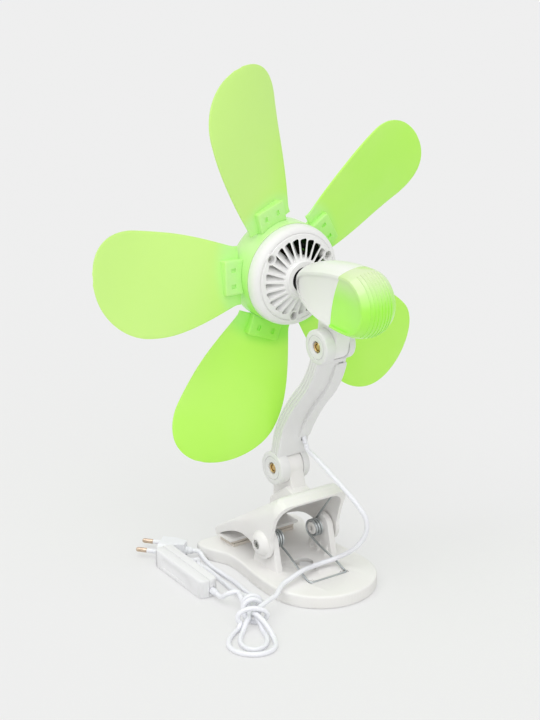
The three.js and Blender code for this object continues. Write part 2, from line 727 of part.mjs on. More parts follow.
const wireExit = { share: 0.17, offset: 9 };
const wireDepth = armHalfThickness - channelDepth + armWireRadius + gap;
const wireOffset = (share) => {
  const out = Math.max(0, (coverShare.from - share) / (coverShare.from - wireExit.share));
  return wireDepth + (wireExit.offset - wireDepth) * Math.pow(out, 1.5);
};
const wirePoints = armOffset(wireOffset, wireExit.share, coverShare.to, 26).map(([y, z]) => [channelX, y, z]);
part('arm_wire', tube(wirePoints, armWireRadius, 16, 8), cordPlastic());

function hexagon(radius) {
  const points = [];
  for (let k = 0; k < 6; k += 1) {
    points.push([radius * Math.cos((Math.PI * k) / 3), radius * Math.sin((Math.PI * k) / 3)]);
  }
  return points;
}

// Bolt from the far side, nut in the near cheek's pocket.
function knucklePin(name, knuckle) {
  const nutSeat = nearCheekOuter - nutHeight - 1 + gap;
  const headSeat = farCheekOuter + 2 - gap;
  const head = nutRadius - 0.2;
  part(`${name}_bolt`, turnedX([[0, headSeat - 1.8], [head - 0.8, headSeat - 1.8], [head, headSeat - 1.1], [head, headSeat],
    [boltRadius, headSeat], [boltRadius, nearCheekOuter - 1.6], [0, nearCheekOuter - 1.6]],
  knuckle.y, knuckle.z, 14), steel());
  const nut = solid(alongX(outline(hexagon(nutRadius).map(([u, v]) => [u + knuckle.y, v + knuckle.z])),
    nutSeat, nutSeat + nutHeight));
  part(`${name}_nut`, geometryOf(cut(nut, solid(rodX(boltRadius + gap, 0, 20, knuckle.y, knuckle.z, 14)))), brass());
}

knucklePin('lower_knuckle', lowerKnuckle);
knucklePin('upper_knuckle', upperKnuckle);

// ---------------------------------------------------------------- pod

// The pod is an egg: half an ellipsoid for the nose, half a ball for the tail, turned about its own
// axis, which starts at the middle of the nose and climbs a little to the rear.
function podProfile(inset, steps = 7) {
  const points = [];
  const noseReach = podLength - inset;
  const round = podRadius - inset;
  for (let k = 0; k <= steps; k += 1) {
    const angle = (Math.PI / 2) * (k / steps);
    const radius = round * Math.sin(angle);
    const distance = podLength - noseReach * Math.cos(angle);
    if (k === 0 && inset === 0) continue;
    points.push([radius, distance]);
  }
  for (let k = 1; k <= steps; k += 1) {
    const angle = (Math.PI / 2) * (k / steps);
    points.push([k === steps ? 0 : round * Math.cos(angle), podLength + round * Math.sin(angle)]);
  }
  if (inset === 0) {
    const flatAt = podLength - noseReach * Math.sqrt(1 - (podNoseRadius / round) ** 2);
    return [[0, flatAt], [podNoseRadius, flatAt], ...points.filter(([, d]) => d > flatAt + 1)];
  }
  return points;
}

// Moves a piece drawn in the pod's own frame, y along its axis from the nose, to its place.
function atPod(geometry) {
  return geometry.rotateX(degrees(podRise)).translate(0, podNoseY - 1.2, podAxisZ);
}

// The two flat flanks: what lies outside them is cut away.
function flank(side, inset) {
  const x = side * (podFacetX - inset);
  const nose = side * (podFacetNoseX - inset);
  const far = side * 60;
  const shape = new THREE.Shape();
  shape.moveTo(far, -20);
  shape.lineTo(nose * 0.6, -20);
  shape.lineTo(nose, 4);
  shape.quadraticCurveTo(x, 22, x, 48);
  shape.lineTo(x, 130);
  shape.lineTo(far, 130);
  return solid(atPod(upwards(shape, -60, 60, 4)));
}

function podBody(inset) {
  const egg = new THREE.LatheGeometry(podProfile(inset).map(([r, d]) => new THREE.Vector2(r, d)), 20);
  return cut(solid(atPod(egg)), flank(1, inset), flank(-1, inset));
}

// Everything behind the leaning split plane, moved back by `shift`.
function behindSplit(shift) {
  const geometry = block(-60, 60, shift, 80, -60, 60);
  return solid(geometry.rotateX(degrees(-splitLean)).translate(0, splitY, podAxisZ + 3));
}

const podShellSpace = () => podBody(podWall);

function podFront() {
  const shell = cut(podBody(0), podShellSpace());
  const tongue = new THREE.Shape();
  tongue.moveTo(upperKnuckle.y + 15, upperKnuckle.z + 24);
  tongue.lineTo(upperKnuckle.y - 9, upperKnuckle.z + 24);
  tongue.absarc(upperKnuckle.y, upperKnuckle.z, tongueRadius, degrees(165), degrees(360), false);
  tongue.lineTo(upperKnuckle.y + 15, upperKnuckle.z + 12);
  const neck = cut(solid(alongX(tongue, farCheekInner + gap, nearCheekInner - gap)), podShellSpace());
  const stemBoss = solid(rodY(stemRadius + 3, podNoseY + 2, podNoseY + 24, 16));
  const body = join(cut(shell, behindSplit(0)), neck,
    cut(stemBoss, cut(solid(rodY(60, 0, 300, 12)), podBody(0))));
  return cut(body,
    solid(rodY(stemRadius + gap, podNoseY - 10, podNoseY + 20, 16)),
    solid(rodX(boltRadius + gap, -20, 20, upperKnuckle.y, upperKnuckle.z, 14)),
    solid(rodX(cheekRadius + 1, nearCheekInner - gap, 40, upperKnuckle.y, upperKnuckle.z, 20)),
    solid(rodX(cheekRadius + 1, -40, farCheekInner + gap, upperKnuckle.y, upperKnuckle.z, 20)));
}

part('pod_front', geometryOf(podFront()), whitePlastic());

// One fine rib over the ball of the tail, standing in a plane of constant x.
function capRib(x) {
  const arcRadius = (radius) => Math.sqrt(radius * radius - x * x);
  const band = new THREE.Shape();
  band.absarc(podLength, 0, arcRadius(podRadius + capRibHeight), degrees(-62), degrees(72), false);
  band.absarc(podLength, 0, arcRadius(podRadius - podWall / 2), degrees(72), degrees(-62), true);
  return solid(atPod(alongX(band, x - capRibWidth / 2, x + capRibWidth / 2, 4)));
}

function podCap() {
  const shell = cut(podBody(0), podBody(podWall)).intersect(behindSplit(gap));
  const ribPitch = (2 * podFacetX - 6) / (capRibs - 1);
  const ribs = Array.from({ length: capRibs }, (_, k) => capRib((k - (capRibs - 1) / 2) * ribPitch));
  return join(shell, ...ribs);
}

part('pod_cap', geometryOf(podCap()), limePlastic());

// ---------------------------------------------------------------- motor

part('motor_stem', rodY(stemRadius, stemFrontY, podNoseY + 19.5, 16), steel());

function statorCore() {
  const hub = solid(rodY(12, statorFrontY, statorRearY, 9));
  const poles = Array.from({ length: statorPoles }, (_, k) => {
    const angle = (360 * k) / statorPoles;
    const shoe = 5.2;
    const neck = block(-1.8, 1.8, statorFrontY, statorRearY, 10, statorRadius - 2);
    const face = block(-shoe, shoe, statorFrontY, statorRearY, statorRadius - 3, statorRadius);
    return join(solid(neck.rotateY(degrees(angle)).translate(0, 0, rotorZ)),
      solid(face.rotateY(degrees(angle)).translate(0, 0, rotorZ)));
  });
  return cut(join(hub, ...poles), solid(rodY(stemRadius + 0.05, statorFrontY - 1, statorRearY + 1, 16)));
}

part('stator_core', geometryOf(statorCore()), finish(0x55585c, 0.5, 0.8));

// The winding shows as one varnished ring on the back of the core.
part('stator_winding', turnedY([[13.5, statorRearY + gap], [22.5, statorRearY + gap],
  [22, statorRearY + 4], [18, statorRearY + 5.5],
  [14, statorRearY + 4], [13.5, statorRearY + gap]], 16), finish(0x8f4a22, 0.4, 0.4));

part('rotor_magnet', turnedY([[magnetInner, statorFrontY - 1], [magnetOuter, statorFrontY - 1],
  [magnetOuter, statorRearY + 1],
  [magnetInner, statorRearY + 1], [magnetInner, statorFrontY - 1]], 18), finish(0x2b2b2d, 0.6, 0.2));

// ---------------------------------------------------------------- rotor

const hubSeam = hubRearY + gap;
const frontBearingY = stemFrontY + 2;

function hubShell() {
  const magnetSeat = magnetOuter + 0.2;
  return turnedY([
    [0, hubFrontY], [14, hubFrontY + 0.6], [26, hubFrontY + 3], [35, hubFrontY + 8.5], [40, hubFrontY + 16],
    [hubRadius, hubFrontY + 23], [hubRadius, hubRearY], [hubRadius - hubWall, hubRearY],
    [hubRadius - hubWall, hubFrontY + 22.5], [magnetSeat + 1.5, statorFrontY - 1 - gap],
    [magnetInner, statorFrontY - 1 - gap], [magnetInner, statorFrontY - 3], [25, hubFrontY + 6],
      [14, hubFrontY + 3.2],
    [bearingOuter + 2.4, hubFrontY + 3], [bearingOuter + 2.4, frontBearingY + bearingWidth],
    [bearingOuter + 0.1, frontBearingY + bearingWidth], [bearingOuter + 0.1, frontBearingY - gap],
    [stemRadius + 2, frontBearingY - gap], [stemRadius + 2, hubFrontY + 2.4], [0, hubFrontY + 2.4]], 24);
}

part('hub_shell', hubShell(), mintPlastic());

const bearing = (y) => turnedY([[stemRadius + gap, y], [bearingOuter, y], [bearingOuter, y + bearingWidth],
  [stemRadius + gap, y + bearingWidth], [stemRadius + gap, y]], 16);
part('front_bearing', bearing(frontBearingY), steel());
const rearBearingY = 33.5;
part('rear_bearing', bearing(rearBearingY), steel());

function coverProfile() {
  const tubeWall = 2.4;
  const spigotOuter = hubRadius - hubWall - gap;
  const spigotInner = spigotOuter - 2.1;
  return [
    [coverRadius, hubSeam], [coverRadius, 31.5], [coverRadius - 0.9, 34.6], [coverRadius - 3.3, 37.2],
    [coverGrooveRadius + 0.8, coverRearY], [coverGrooveRadius, coverRearY - 0.9],
    [coverGrooveRadius - 0.8, coverRearY], [slotOuter + 0.4, coverRearY - 0.2],
    [slotInner, coverRearY + 4.2], [collarOuter + 0.8, coverRearY + 5], [collarOuter, collarRearY - 0.6],
    [collarOuter - 0.6, collarRearY], [collarInner, collarRearY],
    [collarInner, rearBearingY - 1], [collarInner + tubeWall, rearBearingY - 1],
    [collarInner + tubeWall, coverRearY + 2.2], [slotOuter, coverRearY - 2.6],
    [spigotInner, hubSeam - 3], [spigotOuter, hubSeam - 3], [spigotOuter, hubSeam],
  ];
}

// A radial cutter through the cover, swung about its own middle.
function coverSlot(k) {
  const geometry = block(-slotWidth / 2, slotWidth / 2, coverRearY - 6, coverRearY + 8,
    -(slotOuter - slotInner) / 2,
    (slotOuter - slotInner) / 2);
  geometry.rotateY(degrees(slotSwirl)).translate(0, 0, (slotOuter + slotInner) / 2);
  return solid(geometry.rotateY(degrees((360 * k) / slotCount + 4)).translate(0, 0, rotorZ));
}

const coverScrewAngles = [23, 143, 263];
const coverScrewPlace = (angle) => [-coverScrewRadius * Math.cos(degrees(angle)),
  coverScrewRadius * Math.sin(degrees(angle))];

function rearCover() {
  const profile = coverProfile();
  const body = solid(turnedY([...profile, profile[0]], 24));
  const slots = Array.from({ length: slotCount }, (_, k) => coverSlot(k));
  const posts = coverScrewAngles.map((angle) => {
    const [x, z] = coverScrewPlace(angle);
    return solid(rodY(4.2, coverRearY - 8, coverRearY - 1, 8).translate(x, 0, z));
  });
  const wells = coverScrewAngles.map((angle) => {
    const [x, z] = coverScrewPlace(angle);
    return join(solid(rodY(2.7, coverRearY - 2.6, coverRearY + 3, 10).translate(x, 0, z)),
      solid(rodY(1.3, coverRearY - 20, coverRearY, 6).translate(x, 0, z)));
  });
  return cut(cut(body, ...slots).add(join(...posts)), ...wells);
}

part('rear_cover', geometryOf(rearCover()), whitePlastic());

coverScrewAngles.forEach((angle, k) => {
  const [x, z] = coverScrewPlace(angle);
  const seat = coverRearY - 2.6 + gap;
  const screw = turnedY([[0, seat - 9], [1, seat - 9], [1, seat], [2.3, seat], [2.3, seat + 1.1],
    [1.4, seat + 1.6],
    [0, seat + 1.6]], 8).translate(x, 0, z);
  part(`cover_screw_${k + 1}`, screw, steel());
});

// ---------------------------------------------------------------- blades

const ease = (t) => Math.sin((Math.PI / 2) * Math.min(1, Math.max(0, t)));

// Half the blade's width at radius r.
function bladeHalf(r) {
  const body = bladeRootHalf + (bladeMaxHalf - bladeRootHalf) * ease((r - bladeRootR) / (bladeWideR
    - bladeRootR));
  if (r <= bladeWideR) return body;
  const share = (r - bladeWideR) / (bladeTip - bladeWideR);
  return bladeMaxHalf * Math.pow(Math.max(0, 1 - share * share), 0.46);
}

// How far the middle of the blade lies behind the hub's blade plane (forwards is negative).
const bladeSet = (r) => -3.2 - (9.4 * (r - bladeRootR)) / (bladeTip - bladeRootR);

// The blade's pitch in degrees, least at the root and near the tip.
const bladePitch = (r) => 12 + 8 * Math.sin(Math.PI * Math.min(1,
  (r - bladeRootR) / (bladeTip - bladeRootR))) - 2 *
  Math.max(0, (r - bladeWideR) / (bladeTip - bladeWideR));

// A soft blade standing up from the hub at angle zero: x is across it, y towards the back.
function bladeSheet() {
  const across = 5;
  const radii = [bladeRootR - 4.5, 60, 84, 108, bladeWideR, 145, 156, 163, 167, bladeTip - 0.7];
  const grid = [];
  for (const r of radii) {
    const half = r > bladeRootR ? bladeHalf(r) : bladeRootHalf;
    const pitch = degrees(bladePitch(r));
    const row = [];
    for (let k = 0; k <= across; k += 1) {
      const u = -1 + (2 * k) / across;
      const width = u * half - bladeSweep * Math.max(0, (r - bladeSweepR) / (bladeTip - bladeSweepR)) ** 2;
      const camber = 2.2 * (1 - u * u) * Math.min(1, half / bladeMaxHalf);
      const depth = bladePlaneY + bladeSet(r) + width * Math.sin(pitch) + camber;
      row.push([width * Math.cos(pitch), depth, r]);
    }
    grid.push(row);
  }
  const thickness = (r, u) => (bladeThickness * (1 - 0.45 * Math.abs(u) ** 3) * (r > bladeWideR ? 0.75
    : 1)) / 2;
  const positions = [];
  for (const side of [-1, 1]) {
    grid.forEach((row, i) => row.forEach(([x, y, z], k) => {
      positions.push(x, y + side * thickness(radii[i], -1 + (2 * k) / across), z);
    }));
  }
  const row = across + 1;
  const layer = row * radii.length;
  const index = [];
  const quad = (a, b, c, d) => index.push(a, b, c, a, c, d);
  for (let i = 0; i < radii.length - 1; i += 1) {
    for (let k = 0; k < across; k += 1) {
      const a = i * row + k;
      quad(a, a + 1, a + row + 1, a + row);
      quad(layer + a, layer + a + row, layer + a + row + 1, layer + a + 1);
    }
    const left = i * row;
    const right = i * row + across;
    quad(left, left + row, layer + left + row, layer + left);
    quad(right, layer + right, layer + right + row, right + row);
  }
  const last = (radii.length - 1) * row;
  for (let k = 0; k < across; k += 1) {
    quad(k, layer + k, layer + k + 1, k + 1);
    quad(last + k, last + k + 1, layer + last + k + 1, layer + last + k);
  }
  const geometry = new THREE.BufferGeometry();
  geometry.setAttribute('position', new THREE.Float32BufferAttribute(positions, 3));
  geometry.setIndex(index);
  return geometry;
}

// The root block stands on the back of the sheet and bears on the hub; it has two latch windows.
function blade() {
  const { tangential, inner, outer, depth } = bladeBlock;
  const pitch = degrees(8);
  const root = block(-tangential / 2, tangential / 2, -depth / 2 - 3, depth / 2,
    inner - 4 - (inner + outer) / 2,
    outer - (inner + outer) / 2);
  root.rotateZ(pitch).translate(0, bladePlaneY, (inner + outer) / 2);
  const window = (x) => {
    const hole = block(-1.7, 1.7, -1.6, 4, -2.2, 2.2);
    return solid(hole.rotateZ(pitch).translate(x * Math.cos(pitch),
      bladePlaneY + depth / 2 + x * Math.sin(pitch),
      (inner + outer) / 2 - 0.5));
  };
  const body = join(solid(bladeSheet()), solid(root));
  const hub = solid(rodY(hubRadius + gap, -40, 60, 72).translate(0, 0, -rotorZ));
  return cut(body, window(-6.5), window(6.5), hub);
}

// Seen from behind, a blade at 90 degrees stands straight up and one at 0 points to -X.
const bladeShape = geometryOf(blade());
for (let k = 0; k < bladeCount; k += 1) {
  const angle = bladePhase + (360 / bladeCount) * k;
  const geometry = bladeShape.clone().rotateY(degrees(angle - 90)).translate(0, 0, rotorZ);
  part(`blade_${k + 1}`, geometry, limePlastic());
}

// ---------------------------------------------------------------- mains lead

// Places in the knot are given along its neck, across it and up.
const knot = new THREE.Vector3(81.8, 90.5, 0);
const neckAlong = new THREE.Vector3(0.55, 0.835, 0).normalize();
const neckAcross = new THREE.Vector3(-neckAlong.y, neckAlong.x, 0);
const inKnot = ([along, across, up]) =>
  knot.clone().addScaledVector(neckAlong, along).addScaledVector(neckAcross, across).setZ(up).toArray();

const floorZ = cordRadius + 0.1;
const neckFront = 12;
const neckRear = -17;
const strandZ = 8.1;                // the two strands of the plug's lead, side by side in the neck
const strandAcross = 2.4;
const supplyZ = 12.35;              // the supply strand lies on top of them
const innerLoop = { length: 44, width: 11.8 };
const outerLoop = { length: 52, width: 22 };
const wrap = { radius: 7.45, wide: 4.6, z: 9.6, start: 16.8, pitch: 6.5, advance: 9.5, turned: 1110,
  firstAngle: 215 };
const wrapNarrows = { from: 180, over: 200 };   // degrees of the wrap in which it closes on the neck
const wrapAdvances = { from: 210, over: 270 };  // degrees of the wrap in which it steps back
const halfLoop = 180;                           // degrees of the outer loop up to its far end

// One teardrop loop, `turn` from 0 to 360 degrees.
const teardrop = ({ length, width }, turn) => [
  neckFront + (length * (1 - Math.cos(degrees(turn)))) / 2,
  width * Math.sin(degrees(turn)) * Math.sin(degrees(turn / 2)),
];

// The supply strand: in from the far side, round the outer loop, then three turns round the neck.
function supplyKnot() {
  const points = [[-9, 16.5, 14.4], [-5, 13.6, 14.4], [-1, 11, 14.3], [3, 8, 13.8], [7, 4.6, 13.2],
    [neckFront - 1, 1.8, 12.7]];
  for (let turn = 20; turn <= 318; turn += 10) {
    const [along, across] = teardrop(outerLoop, turn);
    const back = smooth((turn - halfLoop) / 60);
    const out = -5.4 * back * (1 - (0.75 * (along - neckFront)) / outerLoop.length);
    const down = turn < halfLoop ? smooth((along - neckFront) / 34) : 1;
    points.push([along, across + out, supplyZ + (floorZ - supplyZ) * down]);
  }
  for (let swept = 0; swept <= wrap.turned; swept += 15) {
    const angle = degrees(wrap.firstAngle - swept);
    const along = wrap.start - (wrap.pitch * swept) / 360 - wrap.advance * smooth((swept
      - wrapAdvances.from) / wrapAdvances.over);
    const across = wrap.radius + wrap.wide * (1 - smooth((swept - wrapNarrows.from) / wrapNarrows.over));
    points.push([along, across * Math.cos(angle), wrap.z + wrap.radius * Math.sin(angle)]);
  }
  const [along, across, up] = points[points.length - 1];
  points.push([along - 2.6, across - 1.2, up + 3], [along - 6.6, across - 2.2, up + 3.4]);
  return points.map(inKnot);
}

// The plug's lead: through the neck, round the inner loop and back.
function plugKnot() {
  const points = [neckRear, neckRear + 5, -3, neckFront - 4].map((along) => [along, strandAcross, strandZ]);
  const straight = points.length;
  for (let turn = 20; turn <= 340; turn += 10) {
    const [along, across] = teardrop(innerLoop, turn);
    const down = smooth((along - neckFront) / 16);
    points.push([along, across + strandAcross * Math.cos(degrees(turn / 2)),
      strandZ + (floorZ - strandZ) * down]);
  }
  const back = points.slice(0, straight).map(([along, across, up]) => [along, -across, up]).reverse();
  return [...points, ...back].map(inKnot);
}

const supplyKnotPath = evenly(supplyKnot(), 118);
const plugKnotPath = evenly(plugKnot(), 40);
reportGap('cord_knot', supplyKnotPath, cordRadius);
reportGap('plug_cord_loop', plugKnotPath, cordRadius);
const between = Math.min(...evenly(supplyKnotPath, 400).flatMap((p) => evenly(plugKnotPath, 200).map((q) =>
  Math.hypot(p[0] - q[0], p[1] - q[1], p[2] - q[2]))));
console.log(`cord_knot to plug_cord_loop: ${(between - 2 * cordRadius).toFixed(2)} mm`);
part('cord_knot', sweep(supplyKnotPath, cordRadius, 6), cordPlastic());
part('plug_cord_loop', sweep(plugKnotPath, cordRadius, 6), cordPlastic());

// The point `distance` beyond the end of a path, along its last stretch.
function beyond(path, distance) {
  const [before, end] = path.slice(-2).map((p) => new THREE.Vector3(...p));
  return end.clone().add(end.clone().sub(before).normalize().multiplyScalar(distance)).toArray();
}
const backwards = (path) => [...path].reverse();

// The lead hangs from the arm, crosses the stand and reaches the knot. It is parted where it hangs
// lowest, so that its upper stretch can follow the arm.
const leadStart = new THREE.Vector3(...wirePoints[0]);
const leadOut = leadStart.clone().sub(new THREE.Vector3(...wirePoints[1])).normalize();
const leadPoint = (distance) => leadStart.clone().addScaledVector(leadOut, distance).toArray();
const supplyLine = [
  leadPoint(gap), leadPoint(5), [-9.6, 50, 104.5], [-13, 64.5, 95.2], [-18, 79.9, 83.5], [-23, 91.1, 72.2],
  [-27, 96.6, 61.3], [-28.5, 95, 47.7], [-24.5, 86.2, 32.3], [-16.5, 70.5, 19], [-6, 67, 16.6], [5, 68.5, 17],
  [18, 72.8, 18.8], [31, 76.5, 18], [45, 80.5, 16.2], beyond(backwards(supplyKnotPath), 5),
  beyond(backwards(supplyKnotPath), gap),
];
const partingShare = 0.46;
const partingGap = 0.0012;
part('cord_drop', tube(evenly(supplyLine, 30, 0, partingShare), cordRadius, 14, 8), cordPlastic());
part('cord_run', tube(evenly(supplyLine, 36, partingShare + partingGap, 1), cordRadius, 18, 8),
  cordPlastic());

// ---------------------------------------------------------------- in-line switch

const atSwitch = (geometry) => geometry.rotateZ(degrees(switchYaw)).translate(switchPlace.x,
  switchPlace.y, 0);
const switchPoint = (x, y, z) => new THREE.Vector3(x, y, z)
  .applyAxisAngle(new THREE.Vector3(0, 0, 1),
    degrees(switchYaw)).add(new THREE.Vector3(switchPlace.x, switchPlace.y, 0));
const switchMiddleZ = switchHeight / 2;

// The case's block seen from above, drawn in by `inset`, with its top and bottom edges rounded.
function switchBlock(inset, edge, corner) {
  const [w, l] = [switchWidth / 2 - inset - edge, switchLength / 2 - inset - edge];
  const r = corner;
  const shape = new THREE.Shape();
  shape.absarc(w - r, -l + r, r, -Math.PI / 2, 0, false);
  shape.absarc(w - r, l - r, r, 0, Math.PI / 2, false);
  shape.absarc(-w + r, l - r, r, Math.PI / 2, Math.PI, false);
  shape.absarc(-w + r, -l + r, r, Math.PI, 1.5 * Math.PI, false);
  const geometry = new THREE.ExtrudeGeometry(shape, {
    depth: switchHeight - 2 * inset - 2 * edge, bevelEnabled: edge > 0, bevelThickness: edge, bevelSize: edge,
    bevelSegments: 2, curveSegments: 3,
  });
  return solid(geometry.translate(0, 0, inset + edge));
}

// Bores for the two strain reliefs: one in the end wall, one in the wall beside the rocker.
const endBore = () => solid(new THREE.CylinderGeometry(sleeveNeck + gap, sleeveNeck + gap, 12, 12)
  .translate(sleeveX, switchLength / 2, sleeveZ));
const sideBore = () => solid(new THREE.CylinderGeometry(sleeveNeck + gap, sleeveNeck + gap, 12, 12)
  .rotateZ(Math.PI / 2).translate(-switchWidth / 2, sideSleeveY, switchMiddleZ));

function switchShell(side) {
  const hollow = switchBlock(switchWall, 0, 0.8);
  const away = side > 0 ? block(-40, gap / 2, -60, 60, -10, 40) : block(-gap / 2, 40, -60, 60, -10, 40);
  let shell = cut(switchBlock(0, switchEdge, 3), hollow, solid(away), endBore(), sideBore());
  if (side > 0) {
    const face = switchWidth / 2;
    return cut(shell, solid(block(face - panelDepth, face + 2, panelRearY, panelFrontY, panelBottomZ,
      panelTopZ)));
  }
  const frameX = -switchWidth / 2 + switchWall;
  const cheek = (up) => solid(block(frameX - 0.4, frameX + 3.4, rockerY - 3, rockerY + 3,
    switchMiddleZ + (up > 0 ? rockerHalf + 0.6 : -switchMiddleZ + switchWall - 0.4),
    switchMiddleZ + (up > 0 ? switchMiddleZ - switchWall + 0.4 : -rockerHalf - 0.6)));
  shell = join(shell, cheek(1), cheek(-1));
  return cut(shell,
    solid(block(-switchWidth, frameX + 0.1, rockerY - rockerLength / 2 - rockerEndRoom,
      rockerY + rockerLength / 2 + rockerEndRoom,
      switchMiddleZ - rockerHalf - 0.4, switchMiddleZ + rockerHalf + 0.4)),
    solid(new THREE.CylinderGeometry(rockerPin + gap, rockerPin + gap, 2 * (rockerHalf + 1.6), 12)
      .rotateX(Math.PI / 2).translate(rockerAxisX, rockerY, switchMiddleZ)));
}

part('switch_case_back', atSwitch(geometryOf(switchShell(1))), whitePlastic());
part('switch_case_front', atSwitch(geometryOf(switchShell(-1))), whitePlastic());

// The rocker: two shallow wings on a pivot pin that stands upright while the switch lies on its side.
function switchRocker() {
  const [l, face] = [rockerLength / 2, -switchWidth / 2];
  const shape = outline([[face - 1.9, -l], [face - 0.3, 0], [face + 0.7, l], [face + 2.6, l],
    [rockerAxisX + 1.8, 2.4],
    [rockerAxisX + 1.8, -2.4], [face + 0.8, -l]]);
  const body = solid(upwards(shape, -rockerHalf, rockerHalf));
  const pin = solid(new THREE.CylinderGeometry(rockerPin, rockerPin, 2 * (rockerHalf + 1.2),
    12).rotateX(Math.PI / 2)
    .translate(rockerAxisX, 0, 0));
  return geometryOf(join(body, pin)).translate(0, rockerY, switchMiddleZ);
}
part('switch_rocker', atSwitch(switchRocker()), whitePlastic());

// A strain relief with a flange inside the wall and a taper outside, pointing along +Y from y = 0.
function sleeve(length) {
  const profile = [[0, -switchWall - gap - 1.2], [sleeveFlange, -switchWall - gap - 1.2],
    [sleeveFlange, -switchWall - gap],
    [sleeveNeck, -switchWall - gap], [sleeveNeck, length * 0.35], [sleeveNeck - 0.7, length], [0, length]];
  return new THREE.LatheGeometry(profile.map(([r, y]) => new THREE.Vector2(r, y)), 12);
}
part('switch_end_sleeve', atSwitch(sleeve(sleeveLength).translate(sleeveX, switchLength / 2, sleeveZ)),
  cordPlastic());
part('switch_side_sleeve', atSwitch(sleeve(sleeveLength).rotateZ(Math.PI / 2)
  .translate(-switchWidth / 2, sideSleeveY, switchMiddleZ)), cordPlastic());

const endLeadAt = (distance) => switchPoint(sleeveX, switchLength / 2 + sleeveLength + distance,
  sleeveZ).toArray();
const sideLeadAt = (distance) => switchPoint(-switchWidth / 2 - sleeveLength - distance, sideSleeveY,
  switchMiddleZ).toArray();

part('switch_lead', tube([beyond(supplyKnotPath, gap), beyond(supplyKnotPath, 5), [84.2, 60.5, 11.6],
  endLeadAt(7),
  endLeadAt(gap)], cordRadius, 6, 8), cordPlastic());

// ---------------------------------------------------------------- plug

const plugAlong = new THREE.Vector3(Math.cos(degrees(plugAngle)), Math.sin(degrees(plugAngle)), 0);
// drawn with its pins along +X from the face at x = 0
const atPlug = (geometry) => geometry.rotateZ(degrees(plugAngle)).translate(plugFace.x, plugFace.y,
  plugHeight / 2);

function plugBody() {
  const shape = new THREE.Shape();
  const [half, rear] = [plugHalfWidth, plugRearHalf];
  shape.moveTo(0, -half + 2);
  shape.lineTo(0, half - 2);
  shape.quadraticCurveTo(0, half, -2, half);
  shape.quadraticCurveTo(-plugLength * 0.45, half - 1.5, -plugLength * 0.75, rear + 1.2);
  shape.lineTo(-plugLength, rear);
  shape.lineTo(-plugLength, -rear);
  shape.lineTo(-plugLength * 0.75, -rear - 1.2);
  shape.quadraticCurveTo(-plugLength * 0.45, -half + 1.5, -2, -half);
  const top = plugHeight / 2;
  const bevelled = outline([[-half - 1, -2.2], [-half + 4.5, -top], [half - 4.5, -top], [half + 1, -2.2],
    [half + 1, 2.2],
    [half - 4.5, top], [-half + 4.5, top], [-half - 1, 2.2]]);
  const body = solid(upwards(shape, -top, top, 4)).intersect(solid(alongX(bevelled, -plugLength - 1, 1)));
  const relief = solid(new THREE.LatheGeometry([[0, 0], [3.6, 0], [3.6, 2], [2.6, plugReliefLength + 1],
    [0, plugReliefLength + 1]]
    .map(([r, y]) => new THREE.Vector2(r, y)), 16).rotateZ(Math.PI / 2).translate(-plugLength + 1, 0, 0));
  const sockets = [-1, 1].map((side) => solid(new THREE.CylinderGeometry(pinRadius + gap / 2,
    pinRadius + gap / 2, 16, 12)
    .rotateZ(Math.PI / 2).translate(0, (side * pinPitch) / 2, 0)));
  return cut(join(body, relief), ...sockets);
}
part('plug_body', atPlug(geometryOf(plugBody())), cordPlastic());

[-1, 1].forEach((side, k) => {
  const pin = new THREE.LatheGeometry([[0, -7.5], [pinRadius, -7.5], [pinRadius, pinLength - 1.2],
    [pinRadius - 1, pinLength],
    [0, pinLength]].map(([r, y]) => new THREE.Vector2(r, y)), 12);
  part(`plug_pin_${k + 1}`, atPlug(pin.rotateZ(-Math.PI / 2).translate(0, (side * pinPitch) / 2, 0)), brass());
});

const plugLeadAt = (distance) => new THREE.Vector3(plugFace.x, plugFace.y, plugHeight / 2)
  .addScaledVector(plugAlong, -plugLength - plugReliefLength - distance).toArray();

part('plug_lead', tube([beyond(backwards(plugKnotPath), gap), beyond(backwards(plugKnotPath), 5),
  [62, 52, 4.4],
  [57.6, 32, 2.3], [57, 12, 2.3], [56.3, -5, 2.3], [54.8, -18, 3.4], plugLeadAt(5), plugLeadAt(gap)],
    cordRadius, 12, 8), cordPlastic());
part('return_lead', tube([beyond(plugKnotPath, gap), beyond(plugKnotPath, 5), [69.5, 50, 4.6],
  [65.5, 28, 2.3],
  [63.4, 10, 2.3], [63.2, -3, 3.2], [66.2, -10.4, 5.4], sideLeadAt(4.5), sideLeadAt(gap)], cordRadius, 12,
    8), cordPlastic());

export default fan;
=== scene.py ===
"""The clip fan dressed for rendering: moulded shells, soft translucent blades, wire, lead and plug.

Lengths are written in millimetres and drawn in metres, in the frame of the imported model: +Z up, -Y the
way the fan blows, z = 0 the surface that it stands on.
"""

from math import asin, atan, copysign, cos, degrees, pi, radians, sin, sqrt

import bpy
from mathutils import Matrix, Vector

